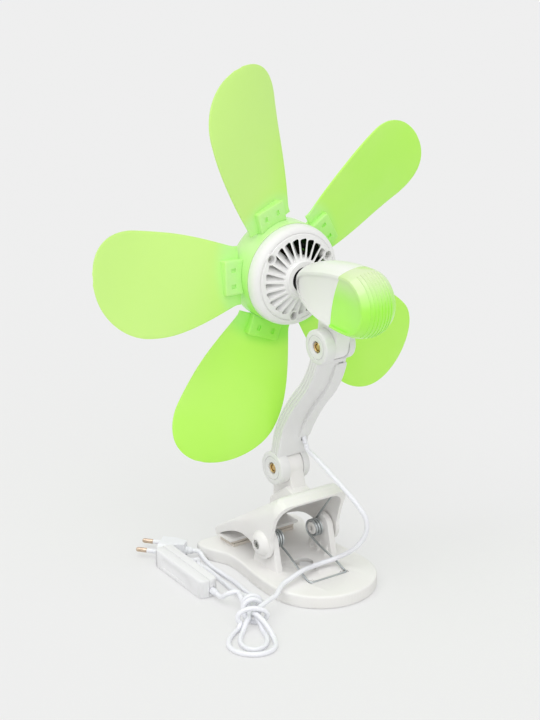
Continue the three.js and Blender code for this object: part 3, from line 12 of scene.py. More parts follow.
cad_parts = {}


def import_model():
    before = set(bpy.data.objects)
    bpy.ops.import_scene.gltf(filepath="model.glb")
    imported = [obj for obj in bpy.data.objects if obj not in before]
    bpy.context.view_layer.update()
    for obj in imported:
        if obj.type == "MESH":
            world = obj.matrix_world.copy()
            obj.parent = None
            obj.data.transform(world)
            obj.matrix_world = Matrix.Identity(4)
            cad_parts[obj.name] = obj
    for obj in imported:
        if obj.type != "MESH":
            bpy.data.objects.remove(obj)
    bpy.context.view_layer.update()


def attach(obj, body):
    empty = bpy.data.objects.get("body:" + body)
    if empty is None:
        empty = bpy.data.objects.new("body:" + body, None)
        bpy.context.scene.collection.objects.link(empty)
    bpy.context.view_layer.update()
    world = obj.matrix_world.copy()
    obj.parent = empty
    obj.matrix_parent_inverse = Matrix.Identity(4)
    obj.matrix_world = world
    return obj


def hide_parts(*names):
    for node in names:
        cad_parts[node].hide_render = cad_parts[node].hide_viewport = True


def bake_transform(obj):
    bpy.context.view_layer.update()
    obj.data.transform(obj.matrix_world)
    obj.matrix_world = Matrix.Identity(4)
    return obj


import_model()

MM = 0.001
GAP = 0.3       # clearance between pieces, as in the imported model

# ---------------------------------------------------------------- sizes, in millimetres

BASE_HEIGHT, BASE_TOP, BASE_WALL = 11.6, 3.4, 3.0
BASE_HALF, BASE_END_Y = 47.5, 70.0
BASE_FRONT_Y, BASE_FRONT_HALF = -38.0, 52.0
BASE_WAIST_Y, BASE_WAIST_HALF = 4.0, 42.0
BASE_EDGE = 2.4
BASE_RIB, BASE_RIBS_X, BASE_RIBS_Y = 2.4, (-26, 0, 26), (-22, 26, 76)
BUTTRESSES_Y, BUTTRESS_REACH = (27, 37, 47), 4.5
KEYHOLE_Y, KEYHOLE_RADIUS, KEYHOLE_SLOT, KEYHOLE_SLOT_END = 48.5, 7.8, 5.2, 62.0

HINGE_Y, HINGE_Z = 36.9, 33.9
HINGE = (0, HINGE_Y, HINGE_Z)
EAR_INNER, EAR_THICK, EAR_RADIUS = 25.0, 6.0, 11.0
SPIGOT_RADIUS, SPIGOT_LENGTH = 5.4, 9.4
SCREW_RADIUS, SCREW_HEAD = 2.0, 3.9

JAW_HALF, JAW_WALL, JAW_PLATE = 35.3, 3.2, 3.0
JAW_TIP_Y, JAW_TIP_LOW, JAW_TIP_HIGH = -30.0, 17.2, 24.7
JAW_RIDGE_Y, JAW_RIDGE_Z = 52.4, 79.0
JAW_REAR_Y, JAW_REAR_Z, JAW_ARCH = 63.5, 73.4, 15.0
JAW_SHOULDER, JAW_SHOULDER_TIP, JAW_REAR_FALL = 15.0, 1.5, 0.35
JAW_EAR = 13.3
BOSS_RADIUS, BOSS_RIM, BOSS_HEIGHT = 10.6, 5.6, 5.0
PAD_THICK, PAD_HALF, PAD_LENGTH, PAD_RIBS, PAD_RIB_DEPTH = 2.5, 31.0, 20.0, 14, 0.7

WIRE_RADIUS, COIL_RADIUS = 0.9, 6.7
UPPER_LEG_ANGLE, LOWER_LEG_ANGLE, COIL_TURNS, COIL_PITCH = 142.0, 242.0, 3, 2.5
COIL_OUTER_X, SPRING_LEG_X, SPRING_BRIDGE_Y = 23.8, 18.5, 83.5
SPRING_GROOVE, UPPER_LEG_LENGTH = 1.5, 43.0

LOWER_KNUCKLE, UPPER_KNUCKLE = (23.6, 91.2), (83.3, 215.1)
NEAR_OUTER, NEAR_INNER, FAR_OUTER, FAR_INNER = 15.0, 6.0, -14.5, -8.5
CHEEK_RADIUS, FAR_CHEEK_RADIUS, TONGUE_RADIUS = 14.3, 13.5, 12.4
BOLT_RADIUS, NUT_RADIUS, NUT_HEIGHT = 2.5, 4.3, 3.0
ARM_HALF = 5.4
ARM_BENDS = [(0, 0), (0.077, 0.168), (0.184, 0.329), (0.419, 0.511), (0.719, 0.684), (0.905, 0.846), (1, 1)]
ARM_LINE = [tuple(low + (high - low) * share for low, high, share in zip(LOWER_KNUCKLE, UPPER_KNUCKLE, bend))
            for bend in ARM_BENDS]
CHANNEL_X, CHANNEL_WIDTH, CHANNEL_DEPTH = -9.2, 4.8, 4.4
COVER_FROM, COVER_TO, COVER_THICK, COVER_INNER = 0.225, 0.88, 3.0, -3.6
CHANNEL_FROM, CHANNEL_TO, COVER_LIP, COVER_SINK = 0.176, 0.886, 0.212, 0.6
ARM_WIRE_RADIUS, WIRE_EXIT_SHARE, WIRE_EXIT_OFFSET = 1.9, 0.17, 9.0

POD_NOSE_Y, ROTOR_Z, POD_RISE = 44.5, 258.3, 1.34
POD_LENGTH, POD_RADIUS, POD_NOSE_RADIUS, POD_WALL = 77.1, 28.0, 5.5, 2.2
POD_FACET_X, POD_FACET_NOSE, POD_PANEL, POD_RIM = 16.2, 8.0, 1.3, 1.9
SPLIT_Y, SPLIT_Z, SPLIT_LEAN, SPLIT_BOW = 103.7, 256.8, 0.2348, 0.0055
CAP_RIBS, CAP_RIB_PITCH, CAP_RIB_HEIGHT, CAP_RIB_WIDTH, CAP_RIB_ENDS = 7, 3.3, 0.5, 1.0, (-62, 72)
STEM_RADIUS = 4.5

HUB_RADIUS, COVER_REAR_Y = 42.0, 38.4
SLOTS, FIN_WIDTH, SLOT_OUTER, SLOT_INNER, SLOT_SWIRL, VANE_SLANT = 24, 1.9, 31.4, 17.0, 12.0, 0.75
COVER_SCREW_RADIUS, COVER_SCREW_ANGLES = 32.4, (23, 143, 263)
POST_RADIUS, WELL_RADIUS, POST_BORE = 4.9, 3.4, 1.3

BLADES, BLADE_PHASE, BLADE_PLANE_Y, BLADE_TIP = 5, 104.25, 16.6, 169.5
BLADE_ROOT_HALF, BLADE_MAX_HALF, BLADE_WIDE_R, BLADE_ROOT_R = 23.5, 42.5, 128.0, 45.0
BLADE_THICK, BLADE_SWEEP, BLADE_SWEEP_R = 1.6, 10.0, 100.0
BLADE_PITCH, PITCH_SWELL, PITCH_TIP = 12, 8, 2
BLADE_SET_BACK, BLADE_RAKE, BLADE_CAMBER = 3.2, 9.4, 2.2
BLOCK_WIDTH, BLOCK_INNER, BLOCK_OUTER, BLOCK_DEPTH, BLOCK_LEAN, WINDOW_X = 28.0, 43.0, 57.0, 7.0, 8, 6.5

CORD_RADIUS = 2.05
SWITCH_X, SWITCH_Y, SWITCH_YAW = 86.0, 0.8, -3.45
SWITCH_LENGTH, SWITCH_WIDTH, SWITCH_HEIGHT, SWITCH_WALL, SWITCH_EDGE = 77.0, 17.0, 16.5, 1.6, 1.8
SWITCH_SIDE, SWITCH_END, SWITCH_MIDDLE_Z = SWITCH_WIDTH / 2, SWITCH_LENGTH / 2, SWITCH_HEIGHT / 2
SLEEVE_NECK, SLEEVE_BORE, SLEEVE_LENGTH = 3.0, 2.12, 7.0
SLEEVE_X, SLEEVE_Z, SIDE_SLEEVE_Y = -2.8, 6.2, -14.0
PANEL_HALF, PANEL_END, PANEL_SUNK, PANEL_Y, PANEL_Z = 4.3, 18.0, 0.5, -4.0, 8.1
ROCKER_Y, ROCKER_LENGTH, ROCKER_HALF, ROCKER_ROOM = 16.0, 22.0, 4.6, 1.2
ROCKER_PIN_X, ROCKER_PIN_RADIUS, ROCKER_PIN_HALF = -5.0, 1.1, 5.8
PLUG_X, PLUG_Y, PLUG_ANGLE = 75.5, -53.0, -50.0
PLUG_LENGTH, PLUG_HALF, PLUG_REAR, PLUG_HEIGHT, PLUG_RELIEF = 22.0, 12.0, 4.4, 13.7, 6.0
PIN_RADIUS, PIN_PITCH, PIN_LENGTH, PIN_SLEEVE = 2.0, 18.0, 19.0, 9.5


def at(x, y, z):
    """A place given in millimetres."""
    return Vector((x, y, z)) * MM


def placed(x, y, z, angle, axis):
    """A turn about X, Y or Z by an angle in degrees, then a move to a place given in millimetres."""
    return Matrix.Translation(at(x, y, z)) @ Matrix.Rotation(radians(angle), 4, axis)


# ---------------------------------------------------------------- camera

CAMERA_AZIMUTH, CAMERA_RISE = radians(144.55), radians(20.77)
CAMERA_DISTANCE, CAMERA_TARGET = 1959.83, (0.0, 0.02, 175.79)
CAMERA_FOCAL, PHOTO_HEIGHT, SENSOR = 2387.78, 720, 36.0
CAMERA_BACK = Vector((sin(CAMERA_AZIMUTH) * cos(CAMERA_RISE),
                      -cos(CAMERA_AZIMUTH) * cos(CAMERA_RISE), sin(CAMERA_RISE)))


def add_camera():
    """The photograph's view of the fan, from behind it and a little above."""
    place = at(*CAMERA_TARGET) + CAMERA_BACK * CAMERA_DISTANCE * MM
    bpy.ops.object.camera_add(location=place, rotation=CAMERA_BACK.to_track_quat("Z", "Y").to_euler())
    camera = bpy.context.active_object
    camera.name = "photo_camera"
    camera.data.lens = CAMERA_FOCAL * SENSOR / PHOTO_HEIGHT
    camera.data.sensor_width = SENSOR
    camera.data.clip_end = 50
    bpy.context.scene.camera = camera


add_camera()


# ---------------------------------------------------------------- materials

class Signal:
    """A socket whose arithmetic adds Math nodes."""

    def __init__(self, graph, socket):
        self.graph, self.socket = graph, socket

    def math(self, operation, *others):
        return self.graph.node("ShaderNodeMath", {"operation": operation}, [self, *others])

    def __add__(self, other):
        return self.math("ADD", other)

    def __mul__(self, other):
        return self.math("MULTIPLY", other)

    def __sub__(self, other):
        return self.math("SUBTRACT", other)

    def __rsub__(self, other):
        return self.graph.node("ShaderNodeMath", {"operation": "SUBTRACT"}, [other, self])

    __radd__, __rmul__ = __add__, __mul__

    def above(self, edge, width):
        """0 below `edge`, 1 above it, over a soft width."""
        return self.graph.node("ShaderNodeMapRange", {"interpolation_type": "SMOOTHSTEP"},
                               {"Value": self, "From Min": edge - width / 2, "From Max": edge + width / 2})


class Graph:
    """A node tree that gets its nodes from calls."""

    def __init__(self, tree):
        self.tree = tree

    def put(self, node, values):
        """Links signals to the node's inputs, and sets the other values on them."""
        pairs = values.items() if isinstance(values, dict) else enumerate(values)
        for key, value in pairs:
            if isinstance(value, Signal):
                self.tree.links.new(value.socket, node.inputs[key])
            else:
                node.inputs[key].default_value = value

    def node(self, kind, settings=None, values=(), output=0):
        made = self.tree.nodes.new(kind)
        for key, value in (settings or {}).items():
            setattr(made, key, value)
        self.put(made, values)
        return Signal(self, made.outputs[output])


class Finish(Graph):
    """One material, built on a Principled shader."""

    def __init__(self, name, color, roughness, metallic=0.0, **sockets):
        self.material = bpy.data.materials.new(name)
        self.material.use_nodes = True
        super().__init__(self.material.node_tree)
        self.shader = self.tree.nodes["Principled BSDF"]
        self.put(self.shader, {"Base Color": (*color, 1), "Roughness": roughness, "Metallic": metallic, **sockets})
        self.place = self.node("ShaderNodeTexCoord", output="Object")

    def noise(self, scale, detail=2.0, stretch=None):
        place = self.place
        if stretch:
            place = self.node("ShaderNodeMapping", values={"Vector": place, "Scale": stretch})
        return self.node("ShaderNodeTexNoise", values={"Vector": place, "Scale": scale, "Detail": detail})

    def mix(self, low, high, factor):
        """Between two colours, by a signal."""
        low, high = [shade if isinstance(shade, Signal) else (*shade, 1) for shade in (low, high)]
        return self.node("ShaderNodeMix", {"data_type": "RGBA"}, {"Factor": factor, 6: low, 7: high}, 2)

    def rise(self, low, high, lean=0.0):
        """0 below one height, 1 above another, both in millimetres; with `lean` it rises towards +X too."""
        height = self.node("ShaderNodeVectorMath", {"operation": "DOT_PRODUCT"}, [self.place, (lean, 0, 1)], "Value")
        return height.above((low + high) / 2 * MM, (high - low) * MM)

    def relief(self, height, depth, strength=1.0):
        """Bump from a height signal, `depth` in millimetres."""
        bump = self.node("ShaderNodeBump", values={"Height": height, "Distance": depth * MM, "Strength": strength})
        self.put(self.shader, {"Normal": bump})

    def surface(self, **signals):
        self.put(self.shader, {key.replace("_", " "): value for key, value in signals.items()})
        return self.material


def moulded(name, pale, deep, roughness, grain=0.02, upper=None, **sockets):
    """Injection-moulded plastic: a slow drift of colour, a fine uneven gloss and a faint texture.

    The colour given for the top is one that it fades to between two heights: a painted paler top that stands for light
    falling from above.
    """
    finish = Finish(name, pale, roughness, **sockets)
    drift = finish.noise(28, 2)
    fine = finish.noise(1400, 3)
    gloss = roughness - 0.05 + 0.1 * finish.noise(160, 3)
    finish.relief(fine, grain)
    color = finish.mix(deep, pale, drift.above(0.5, 0.5))
    if upper:
        # Painted light: the colour fades to the paler top colour above a height.
        color = finish.mix(color, upper[0], finish.rise(*upper[1:]))
    return finish.surface(Base_Color=color, Roughness=gloss)


def brushed(name, pale, deep, roughness, streak):
    """Drawn or rolled metal, with streaks along its length."""
    finish = Finish(name, pale, roughness, 1.0)
    lines = finish.noise(300, 4, streak)
    return finish.surface(Base_Color=finish.mix(deep, pale, lines.above(0.5, 0.4)),
                          Roughness=roughness - 0.06 + 0.14 * lines)


def soft_blade():
    """Soft translucent vinyl: milky lime with cloudy flow marks that fan out from the root. Painted light on it: the
    sheet is paler towards the top and towards +X, the root block pale mint above and deep green below, and a faint
    glow stands for light that comes through the sheet.
    """
    finish = Finish("soft_lime_vinyl", LIME_BLADE, 0.36)
    # A painted glow: the faint lime emission stands for light that passes through the vinyl.
    finish.put(finish.shader, {"Emission Strength": 0.1, "Emission Color": (0.42, 1.0, 0.06, 1),
                               "Subsurface Weight": 0.12, "Subsurface Radius": (0.004, 0.004, 0.002),
                               "Subsurface Scale": 1.0})
    flow = finish.noise(16, 2)
    fine = finish.noise(900, 2)
    finish.relief(fine, 0.02)
    sheet = finish.mix(LIME_BLADE_DEEP, LIME_BLADE, flow.above(0.48, 0.5))
    # Painted light: the sheet fades to a paler lime towards the top and towards +X, the side that the light falls on.
    sheet = finish.mix(sheet, LIME_BLADE_LIT_TOP, finish.rise(225, 370, 1.14))
    # Painted light and shade on the root block: deep green low down, pale mint higher up.
    root = finish.mix(LIME_ROOT_DEEP, LIME_ROOT_LIT_TOP, finish.rise(205, 290, 0.6))
    spoke = finish.node("ShaderNodeMapping", values={"Vector": finish.place, "Location": (0, 0, -ROTOR_Z * MM),
                                                     "Scale": (1, 0, 1)})
    radius = finish.node("ShaderNodeVectorMath", {"operation": "LENGTH"}, [spoke], "Value")
    near = 0.75 * (1 - radius.above(60 * MM, 14 * MM))
    return finish.surface(Base_Color=finish.mix(sheet, root, near), Roughness=0.3 + 0.12 * finish.noise(120, 2))


def ferrite():
    finish = Finish("ferrite_black", (0.02, 0.02, 0.022), 0.55)
    return finish.surface(Roughness=0.45 + 0.2 * finish.noise(500, 2))


def varnished_winding():
    finish = Finish("varnished_winding", (0.06, 0.04, 0.03), 0.35, 0.3)
    wires = finish.node("ShaderNodeTexWave", {"wave_type": "RINGS", "rings_direction": "Y"},
                        {"Vector": finish.place, "Scale": 900, "Distortion": 1.0})
    finish.relief(wires, 0.2)
    return finish.surface(Base_Color=finish.mix((0.02, 0.018, 0.017), (0.09, 0.05, 0.035), wires))


# The pale blade colour is painted light, for the upper side of the rotor.
LIME_BLADE, LIME_BLADE_DEEP, LIME_BLADE_LIT_TOP = (0.48, 0.85, 0.13), (0.44, 0.85, 0.09), (0.54, 0.79, 0.225)
# The root's deep and pale greens are painted shade below and painted light above.
LIME_ROOT_DEEP, LIME_ROOT_LIT_TOP = (0.24, 0.74, 0.06), (0.48, 0.82, 0.33)
WHITE = "white_plastic", moulded("satin_white_abs", (0.87, 0.868, 0.862), (0.855, 0.85, 0.84), 0.36)
JAW_WHITE = "white_plastic", moulded("warm_white_abs", (0.86, 0.85, 0.835), (0.83, 0.815, 0.795), 0.42)
# Painted shade: a greyer copy of the white, for the arm, which stands in the shade of the head above it.
SHADED_ARM_WHITE = "white_plastic", moulded("shaded_arm_white_abs", (0.79, 0.79, 0.785), (0.77, 0.768, 0.76), 0.36)
# Painted light on the hub: it fades to a paler mint towards the top, and its faint emission is a painted glow for
# light through the plastic.
MINT = "mint_plastic", moulded(
    "mint_hub_abs", (0.42, 0.87, 0.15), (0.38, 0.85, 0.12), 0.24, upper=((0.6, 0.86, 0.38), 225, 300),
    **{"Emission Strength": 0.05, "Emission Color": (0.3, 1.0, 0.2, 1)})
# Painted light on the cap: it fades to a pale top for light and the reflection of the bright room above it, and its
# faint emission is a painted glow.
LIME = "lime_plastic", moulded(
    "lime_cap_abs", (0.42, 0.9, 0.11), (0.38, 0.88, 0.07), 0.2, upper=((0.68, 0.75, 0.5), 260, 290),
    **{"Emission Strength": 0.06, "Emission Color": (0.35, 1.0, 0.04, 1), "Coat Weight": 0.4, "Coat Roughness": 0.12})
BLADE = "soft_blade", soft_blade()
CORD = "cord_plastic", moulded("cool_white_pvc", (0.86, 0.865, 0.905), (0.84, 0.845, 0.885), 0.36, 0.01)
SWITCH_WHITE = "white_plastic", moulded("switch_white_abs", (0.84, 0.84, 0.85), (0.82, 0.82, 0.83), 0.4)
PAD = "pad_rubber", moulded("grip_pad_rubber", (0.72, 0.67, 0.6), (0.66, 0.6, 0.53), 0.7, 0.05)
WIRE_STEEL = "steel", brushed("spring_wire_steel", (0.56, 0.59, 0.6), (0.48, 0.51, 0.52), 0.3, (0.2, 0.2, 0.2))
ZINC = "steel", brushed("zinc_screw_steel", (0.66, 0.66, 0.64), (0.4, 0.4, 0.38), 0.34, (4, 1, 1))
BRASS = "brass", brushed("turned_brass", (0.72, 0.52, 0.24), (0.5, 0.34, 0.13), 0.3, (1, 5, 5))
PIN_METAL = "brass", brushed("pin_nickel_brass", (0.72, 0.58, 0.46), (0.5, 0.38, 0.28), 0.3, (1, 1, 6))
LAMINATION = "steel", brushed("lamination_steel", (0.12, 0.12, 0.125), (0.05, 0.05, 0.052), 0.5, (1, 60, 1))
FERRITE = "magnet", ferrite()
WINDING = "winding", varnished_winding()


# ---------------------------------------------------------------- modelling

def only(piece):
    """Selects one piece and makes it the active one."""
    bpy.ops.object.select_all(action="DESELECT")
    piece.select_set(True)
    bpy.context.view_layer.objects.active = piece


def editing(on):
    bpy.ops.object.mode_set(mode="EDIT" if on else "OBJECT")


def added(operator, **settings):
    """A new primitive, which is then the active object."""
    bpy.ops.object.select_all(action="DESELECT")
    operator(**settings)
    return bpy.context.active_object


def drawn(points):
    """A line drawn by extruding one point from place to place, left in edit mode, all selected."""
    line = added(bpy.ops.mesh.primitive_plane_add, size=MM, location=(0, 0, 0))
    editing(True)
    bpy.ops.mesh.select_mode(type="VERT")
    bpy.ops.mesh.merge(type="CENTER")
    bpy.ops.transform.translate(value=points[0])
    for before, after in zip(points, points[1:]):
        bpy.ops.mesh.extrude_vertices_move(TRANSFORM_OT_translate={"value": after - before})
    bpy.ops.mesh.select_all(action="SELECT")
    return line


def closed_off(piece):
    """Merges doubles, turns the faces outwards and leaves edit mode."""
    bpy.ops.mesh.select_all(action="SELECT")
    bpy.ops.mesh.remove_doubles(threshold=1e-6)
    bpy.ops.mesh.normals_make_consistent(inside=False)
    editing(False)
    return piece


INTO_SPACE = {"X": lambda u, v, w: (w, u, v), "Y": lambda u, v, w: (u, w, v), "Z": lambda u, v, w: (u, v, w)}


def prism(outline, axis, low, high):
    """An outline of (y, z), (x, z) or (x, y) points, extruded along X, Y or Z from low to high."""
    into = INTO_SPACE[axis]
    piece = drawn([at(*into(u, v, low)) for u, v in outline])
    bpy.ops.mesh.edge_face_add()
    bpy.ops.mesh.extrude_region_move(TRANSFORM_OT_translate={"value": at(*into(0, 0, high - low))})
    return closed_off(piece)


AXES = {"X": (Vector((1, 0, 0)), Vector((0, 0, 1))), "Y": (Vector((0, 1, 0)), Vector((0, 0, 1))),
        "Z": (Vector((0, 0, 1)), Vector((1, 0, 0)))}


def turned(profile, axis, centre=(0, 0, 0), steps=96):
    """A profile of (radius, distance) points spun about X, Y or Z through `centre`."""
    centre = at(*centre)
    along, out = AXES[axis]
    closing = profile[:1] if profile[0][0] > 0 else []
    piece = drawn([centre + along * d * MM + out * r * MM for r, d in [*profile, *closing]])
    bpy.ops.mesh.spin(steps=steps, angle=2 * pi, center=centre, axis=along)
    return closed_off(piece)


def rod(radius, axis, low, high, centre=(0, 0, 0), steps=48):
    return turned([(0, low), (radius, low), (radius, high), (0, high)], axis, centre, steps)


def block(x0, x1, y0, y1, z0, z1):
    piece = added(bpy.ops.mesh.primitive_cube_add, size=1, location=at((x0 + x1) / 2, (y0 + y1) / 2, (z0 + z1) / 2))
    piece.dimensions = at(x1 - x0, y1 - y0, z1 - z0)
    bpy.ops.object.transform_apply(location=True, rotation=True, scale=True)
    return piece


def moved(piece, matrix):
    piece.data.transform(matrix)
    piece.data.update()
    return piece


def copied(piece):
    twin = piece.copy()
    twin.data = piece.data.copy()
    bpy.context.scene.collection.objects.link(twin)
    return twin


def changed(piece, kind, **settings):
    """The piece with one modifier applied."""
    only(piece)
    modifier = piece.modifiers.new(kind.lower(), kind)
    for key, value in settings.items():
        setattr(modifier, key, value)
    bpy.ops.object.modifier_apply(modifier=modifier.name)
    return piece


def combined(piece, operation, tools):
    for tool in tools:
        changed(piece, "BOOLEAN", operation=operation, solver="MANIFOLD", object=tool)
        bpy.data.objects.remove(tool)
    return piece


def cut(piece, *tools):
    return combined(piece, "DIFFERENCE", tools)


def join(piece, *tools):
    return combined(piece, "UNION", tools)


def overlap(piece, *tools):
    return combined(piece, "INTERSECT", tools)


def cross_slot(axis, low, high, u, v, reach, half):
    """Two bars that cut a driver's cross into a screw head that faces along X or Y."""
    bars = [(u - reach, u + reach, v - half, v + half), (u - half, u + half, v - reach, v + reach)]
    return [block(low, high, *bar) if axis == "X" else block(*bar[:2], low, high, *bar[2:]) for bar in bars]


def softened(piece, width, segments=3, angle=32):
    """Rounds the edges where faces meet at more than `angle` degrees."""
    return changed(piece, "BEVEL", width=width * MM, segments=segments, limit_method="ANGLE",
                   angle_limit=radians(angle))


def rounded_over(piece, width, segments, pick):
    """Rounds the rims of the faces that `pick` chooses."""
    for polygon in piece.data.polygons:
        polygon.select = pick(polygon)
    only(piece)
    editing(True)
    bpy.ops.mesh.select_mode(type="FACE")
    bpy.ops.mesh.bevel(offset=width * MM, segments=segments, affect="EDGES")
    editing(False)
    return piece


def dressed(piece, name, body, look, *nodes, angle=32):
    """Names a finished piece, smooths it, gives it its material and sets it on its body."""
    slot, material = look
    piece.name = name
    piece.data.name = name
    if piece.type == "MESH":
        only(piece)
        bpy.ops.object.shade_smooth_by_angle(angle=radians(angle))
    piece.data.materials.clear()
    piece.data.materials.append(material)
    if body:
        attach(piece, body)
    if nodes:
        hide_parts(*nodes)
    return piece


def arc(centre, radius, start, end, steps):
    """Points on an arc, from one angle in degrees to another."""
    turn = [radians(start + (end - start) * k / steps) for k in range(steps + 1)]
    return [(centre[0] + radius * cos(a), centre[1] + radius * sin(a)) for a in turn]


def beside(radius, distance, *steps):
    """Points of a profile, each given by its step away from one corner."""
    return [(radius + r, distance + d) for r, d in steps]


def curve(ends, steps=16):
    """Points on the Bezier curve with three or four control points, without the first."""
    points = []
    for k in range(1, steps + 1):
        t = k / steps
        row = [Vector(p) for p in ends]
        while len(row) > 1:
            row = [a.lerp(b, t) for a, b in zip(row, row[1:])]
        points.append(tuple(row[0]))
    return points


def within(t):
    return min(1.0, max(0.0, t))


def smooth(t):
    t = within(t)
    return t * t * (3 - 2 * t)


# ---------------------------------------------------------------- mains lead

def evenly(fine, count):
    """The ends and count - 1 places between them, evenly along a fine line."""
    reach = [0.0]
    for p, q in zip(fine, fine[1:]):
        reach.append(reach[-1] + (q - p).length)
    out, k = [], 0
    for i in range(count + 1):
        goal = reach[-1] * i / count
        while k < len(reach) - 2 and reach[k + 1] < goal:
            k += 1
        share = (goal - reach[k]) / max(reach[k + 1] - reach[k], 1e-9)
        out.append(fine[k].lerp(fine[k + 1], min(1.0, share)))
    return out


def catmull(points, count):
    """Even points along a centripetal spline through chosen points."""
    points = [Vector(p) for p in points]
    ends = [2 * points[0] - points[1], *points, 2 * points[-1] - points[-2]]
    fine = []
    for a, b, c, d in zip(ends, ends[1:], ends[2:], ends[3:]):
        knots = [0.0]
        for p, q in ((a, b), (b, c), (c, d)):
            knots.append(knots[-1] + max((q - p).length, 1e-6) ** 0.5)
        t0, t1, t2, t3 = knots
        for k in range(20):
            t = t1 + (t2 - t1) * k / 20
            ab = a.lerp(b, (t - t0) / (t1 - t0))
            bc = b.lerp(c, (t - t1) / (t2 - t1))
            cd = c.lerp(d, (t - t2) / (t3 - t2))
            near, far = ab.lerp(bc, (t - t0) / (t2 - t0)), bc.lerp(cd, (t - t1) / (t3 - t1))
            fine.append(near.lerp(far, (t - t1) / (t2 - t1)))
    return evenly([*fine, points[-1]], count)


def length_of(points):
    return sum((q - p).length for p, q in zip(points, points[1:]))


KNOT = Vector((81.8, 90.5, 0))
NECK_ALONG = Vector((0.55, 0.835, 0)).normalized()
NECK_ACROSS = Vector((-NECK_ALONG.y, NECK_ALONG.x, 0))
FLOOR_Z = CORD_RADIUS + 0.1
NECK_FRONT, NECK_REAR = 12.0, -17.0
STRAND_Z, STRAND_ACROSS, SUPPLY_Z = 8.1, 2.4, 12.35
INNER_LOOP, OUTER_LOOP, LOOP_ASIDE = (44.0, 11.8), (52.0, 22.0), 5.4
WRAP_RADIUS, WRAP_WIDE, WRAP_Z, WRAP_START = 7.45, 4.6, 9.6, 16.8
WRAP_PITCH, WRAP_ADVANCE, WRAP_TURNED, WRAP_FIRST = 6.5, 9.5, 1110, 215


def in_knot(along, across, up):
    place = KNOT + NECK_ALONG * along + NECK_ACROSS * across
    place.z = up
    return place


def teardrop(loop, turn):
    length, width = loop
    return (NECK_FRONT + length * (1 - cos(radians(turn))) / 2,
            width * sin(radians(turn)) * sin(radians(turn / 2)))


def supply_knot():
    """The supply strand: in from the fan, round the outer loop, then three turns round the neck."""
    points = [(-9, 16.5, 14.4), (-5, 13.6, 14.4), (-1, 11, 14.3), (3, 8, 13.8), (7, 4.6, 13.2),
              (NECK_FRONT - 1, 1.8, 12.7)]
    for turn in range(20, 319, 10):
        along, across = teardrop(OUTER_LOOP, turn)
        back = smooth((turn - 180) / 60)
        out = -LOOP_ASIDE * back * (1 - 0.75 * (along - NECK_FRONT) / OUTER_LOOP[0])
        down = smooth((along - NECK_FRONT) / 34) if turn < 180 else 1
        points.append((along, across + out, SUPPLY_Z + (FLOOR_Z - SUPPLY_Z) * down))
    for swept in range(0, WRAP_TURNED + 1, 15):
        angle = radians(WRAP_FIRST - swept)
        along = WRAP_START - WRAP_PITCH * swept / 360 - WRAP_ADVANCE * smooth((swept - 210) / 270)
        across = WRAP_RADIUS + WRAP_WIDE * (1 - smooth((swept - 180) / 200))
        points.append((along, across * cos(angle), WRAP_Z + WRAP_RADIUS * sin(angle)))
    along, across, up = points[-1]
    points += [(along - 2.6, across - 1.2, up + 3), (along - 6.6, across - 2.2, up + 3.4)]
    return [in_knot(*p) for p in points]


def plug_knot():
    """The plug's lead: through the neck, round the inner loop and back."""
    straight = [(along, STRAND_ACROSS, STRAND_Z) for along in (NECK_REAR, NECK_REAR + 5, -3, NECK_FRONT - 4)]
    loop = []
    for turn in range(20, 341, 10):
        along, across = teardrop(INNER_LOOP, turn)
        down = smooth((along - NECK_FRONT) / 16)
        loop.append((along, across + STRAND_ACROSS * cos(radians(turn / 2)),
                     STRAND_Z + (FLOOR_Z - STRAND_Z) * down))
    back = [(along, -across, up) for along, across, up in reversed(straight)]
    return [in_knot(*p) for p in [*straight, *loop, *back]]


def on_arm(share, offset=0.0):
    """A place on the arm's line, moved towards its back."""
    place, along = arm_line(share)
    return place.x + along.y * offset, place.y - along.x * offset


def arm_line(share):
    """The point and direction at a share of the arm's length."""
    low, high = max(share - 0.004, 0), min(share + 0.004, 1)
    a, b = ARM_FINE[round(low * 1000)], ARM_FINE[round(high * 1000)]
    return ARM_FINE[round(share * 1000)], (b - a).normalized()


def uniform_spline(points, count):
    """Even points along the plain Catmull-Rom spline that the arm follows."""
    points = [Vector(p) for p in points]
    ends = [points[0], *points, points[-1]]
    fine = []
    for a, b, c, d in zip(ends, ends[1:], ends[2:], ends[3:]):
        for k in range(200):
            t = k / 200
            fine.append(0.5 * (2 * b + (c - a) * t + (2 * a - 5 * b + 4 * c - d) * t ** 2
                               + (3 * b - a - 3 * c + d) * t ** 3))
    return evenly([*fine, points[-1]], count)


ARM_FINE = uniform_spline(ARM_LINE, 1000)
WIRE_DEPTH = ARM_HALF - CHANNEL_DEPTH + ARM_WIRE_RADIUS + GAP


def wire_offset(share):
    out = max(0.0, (COVER_FROM - share) / (COVER_FROM - WIRE_EXIT_SHARE))
    return WIRE_DEPTH + (WIRE_EXIT_OFFSET - WIRE_DEPTH) * out ** 1.5


wire_shares = [WIRE_EXIT_SHARE + (COVER_TO - WIRE_EXIT_SHARE) * k / 40 for k in range(41)]
wire_route = [Vector((CHANNEL_X, *on_arm(share, wire_offset(share)))) for share in wire_shares]
lead_start = wire_route[0]
lead_out = (wire_route[0] - wire_route[1]).normalized()

supply_route = catmull(supply_knot(), 700)
plug_route = catmull(plug_knot(), 240)


def beyond(route, distance):
    return route[-1] + (route[-1] - route[-2]).normalized() * distance


def before(route, distance):
    return route[0] + (route[0] - route[1]).normalized() * distance


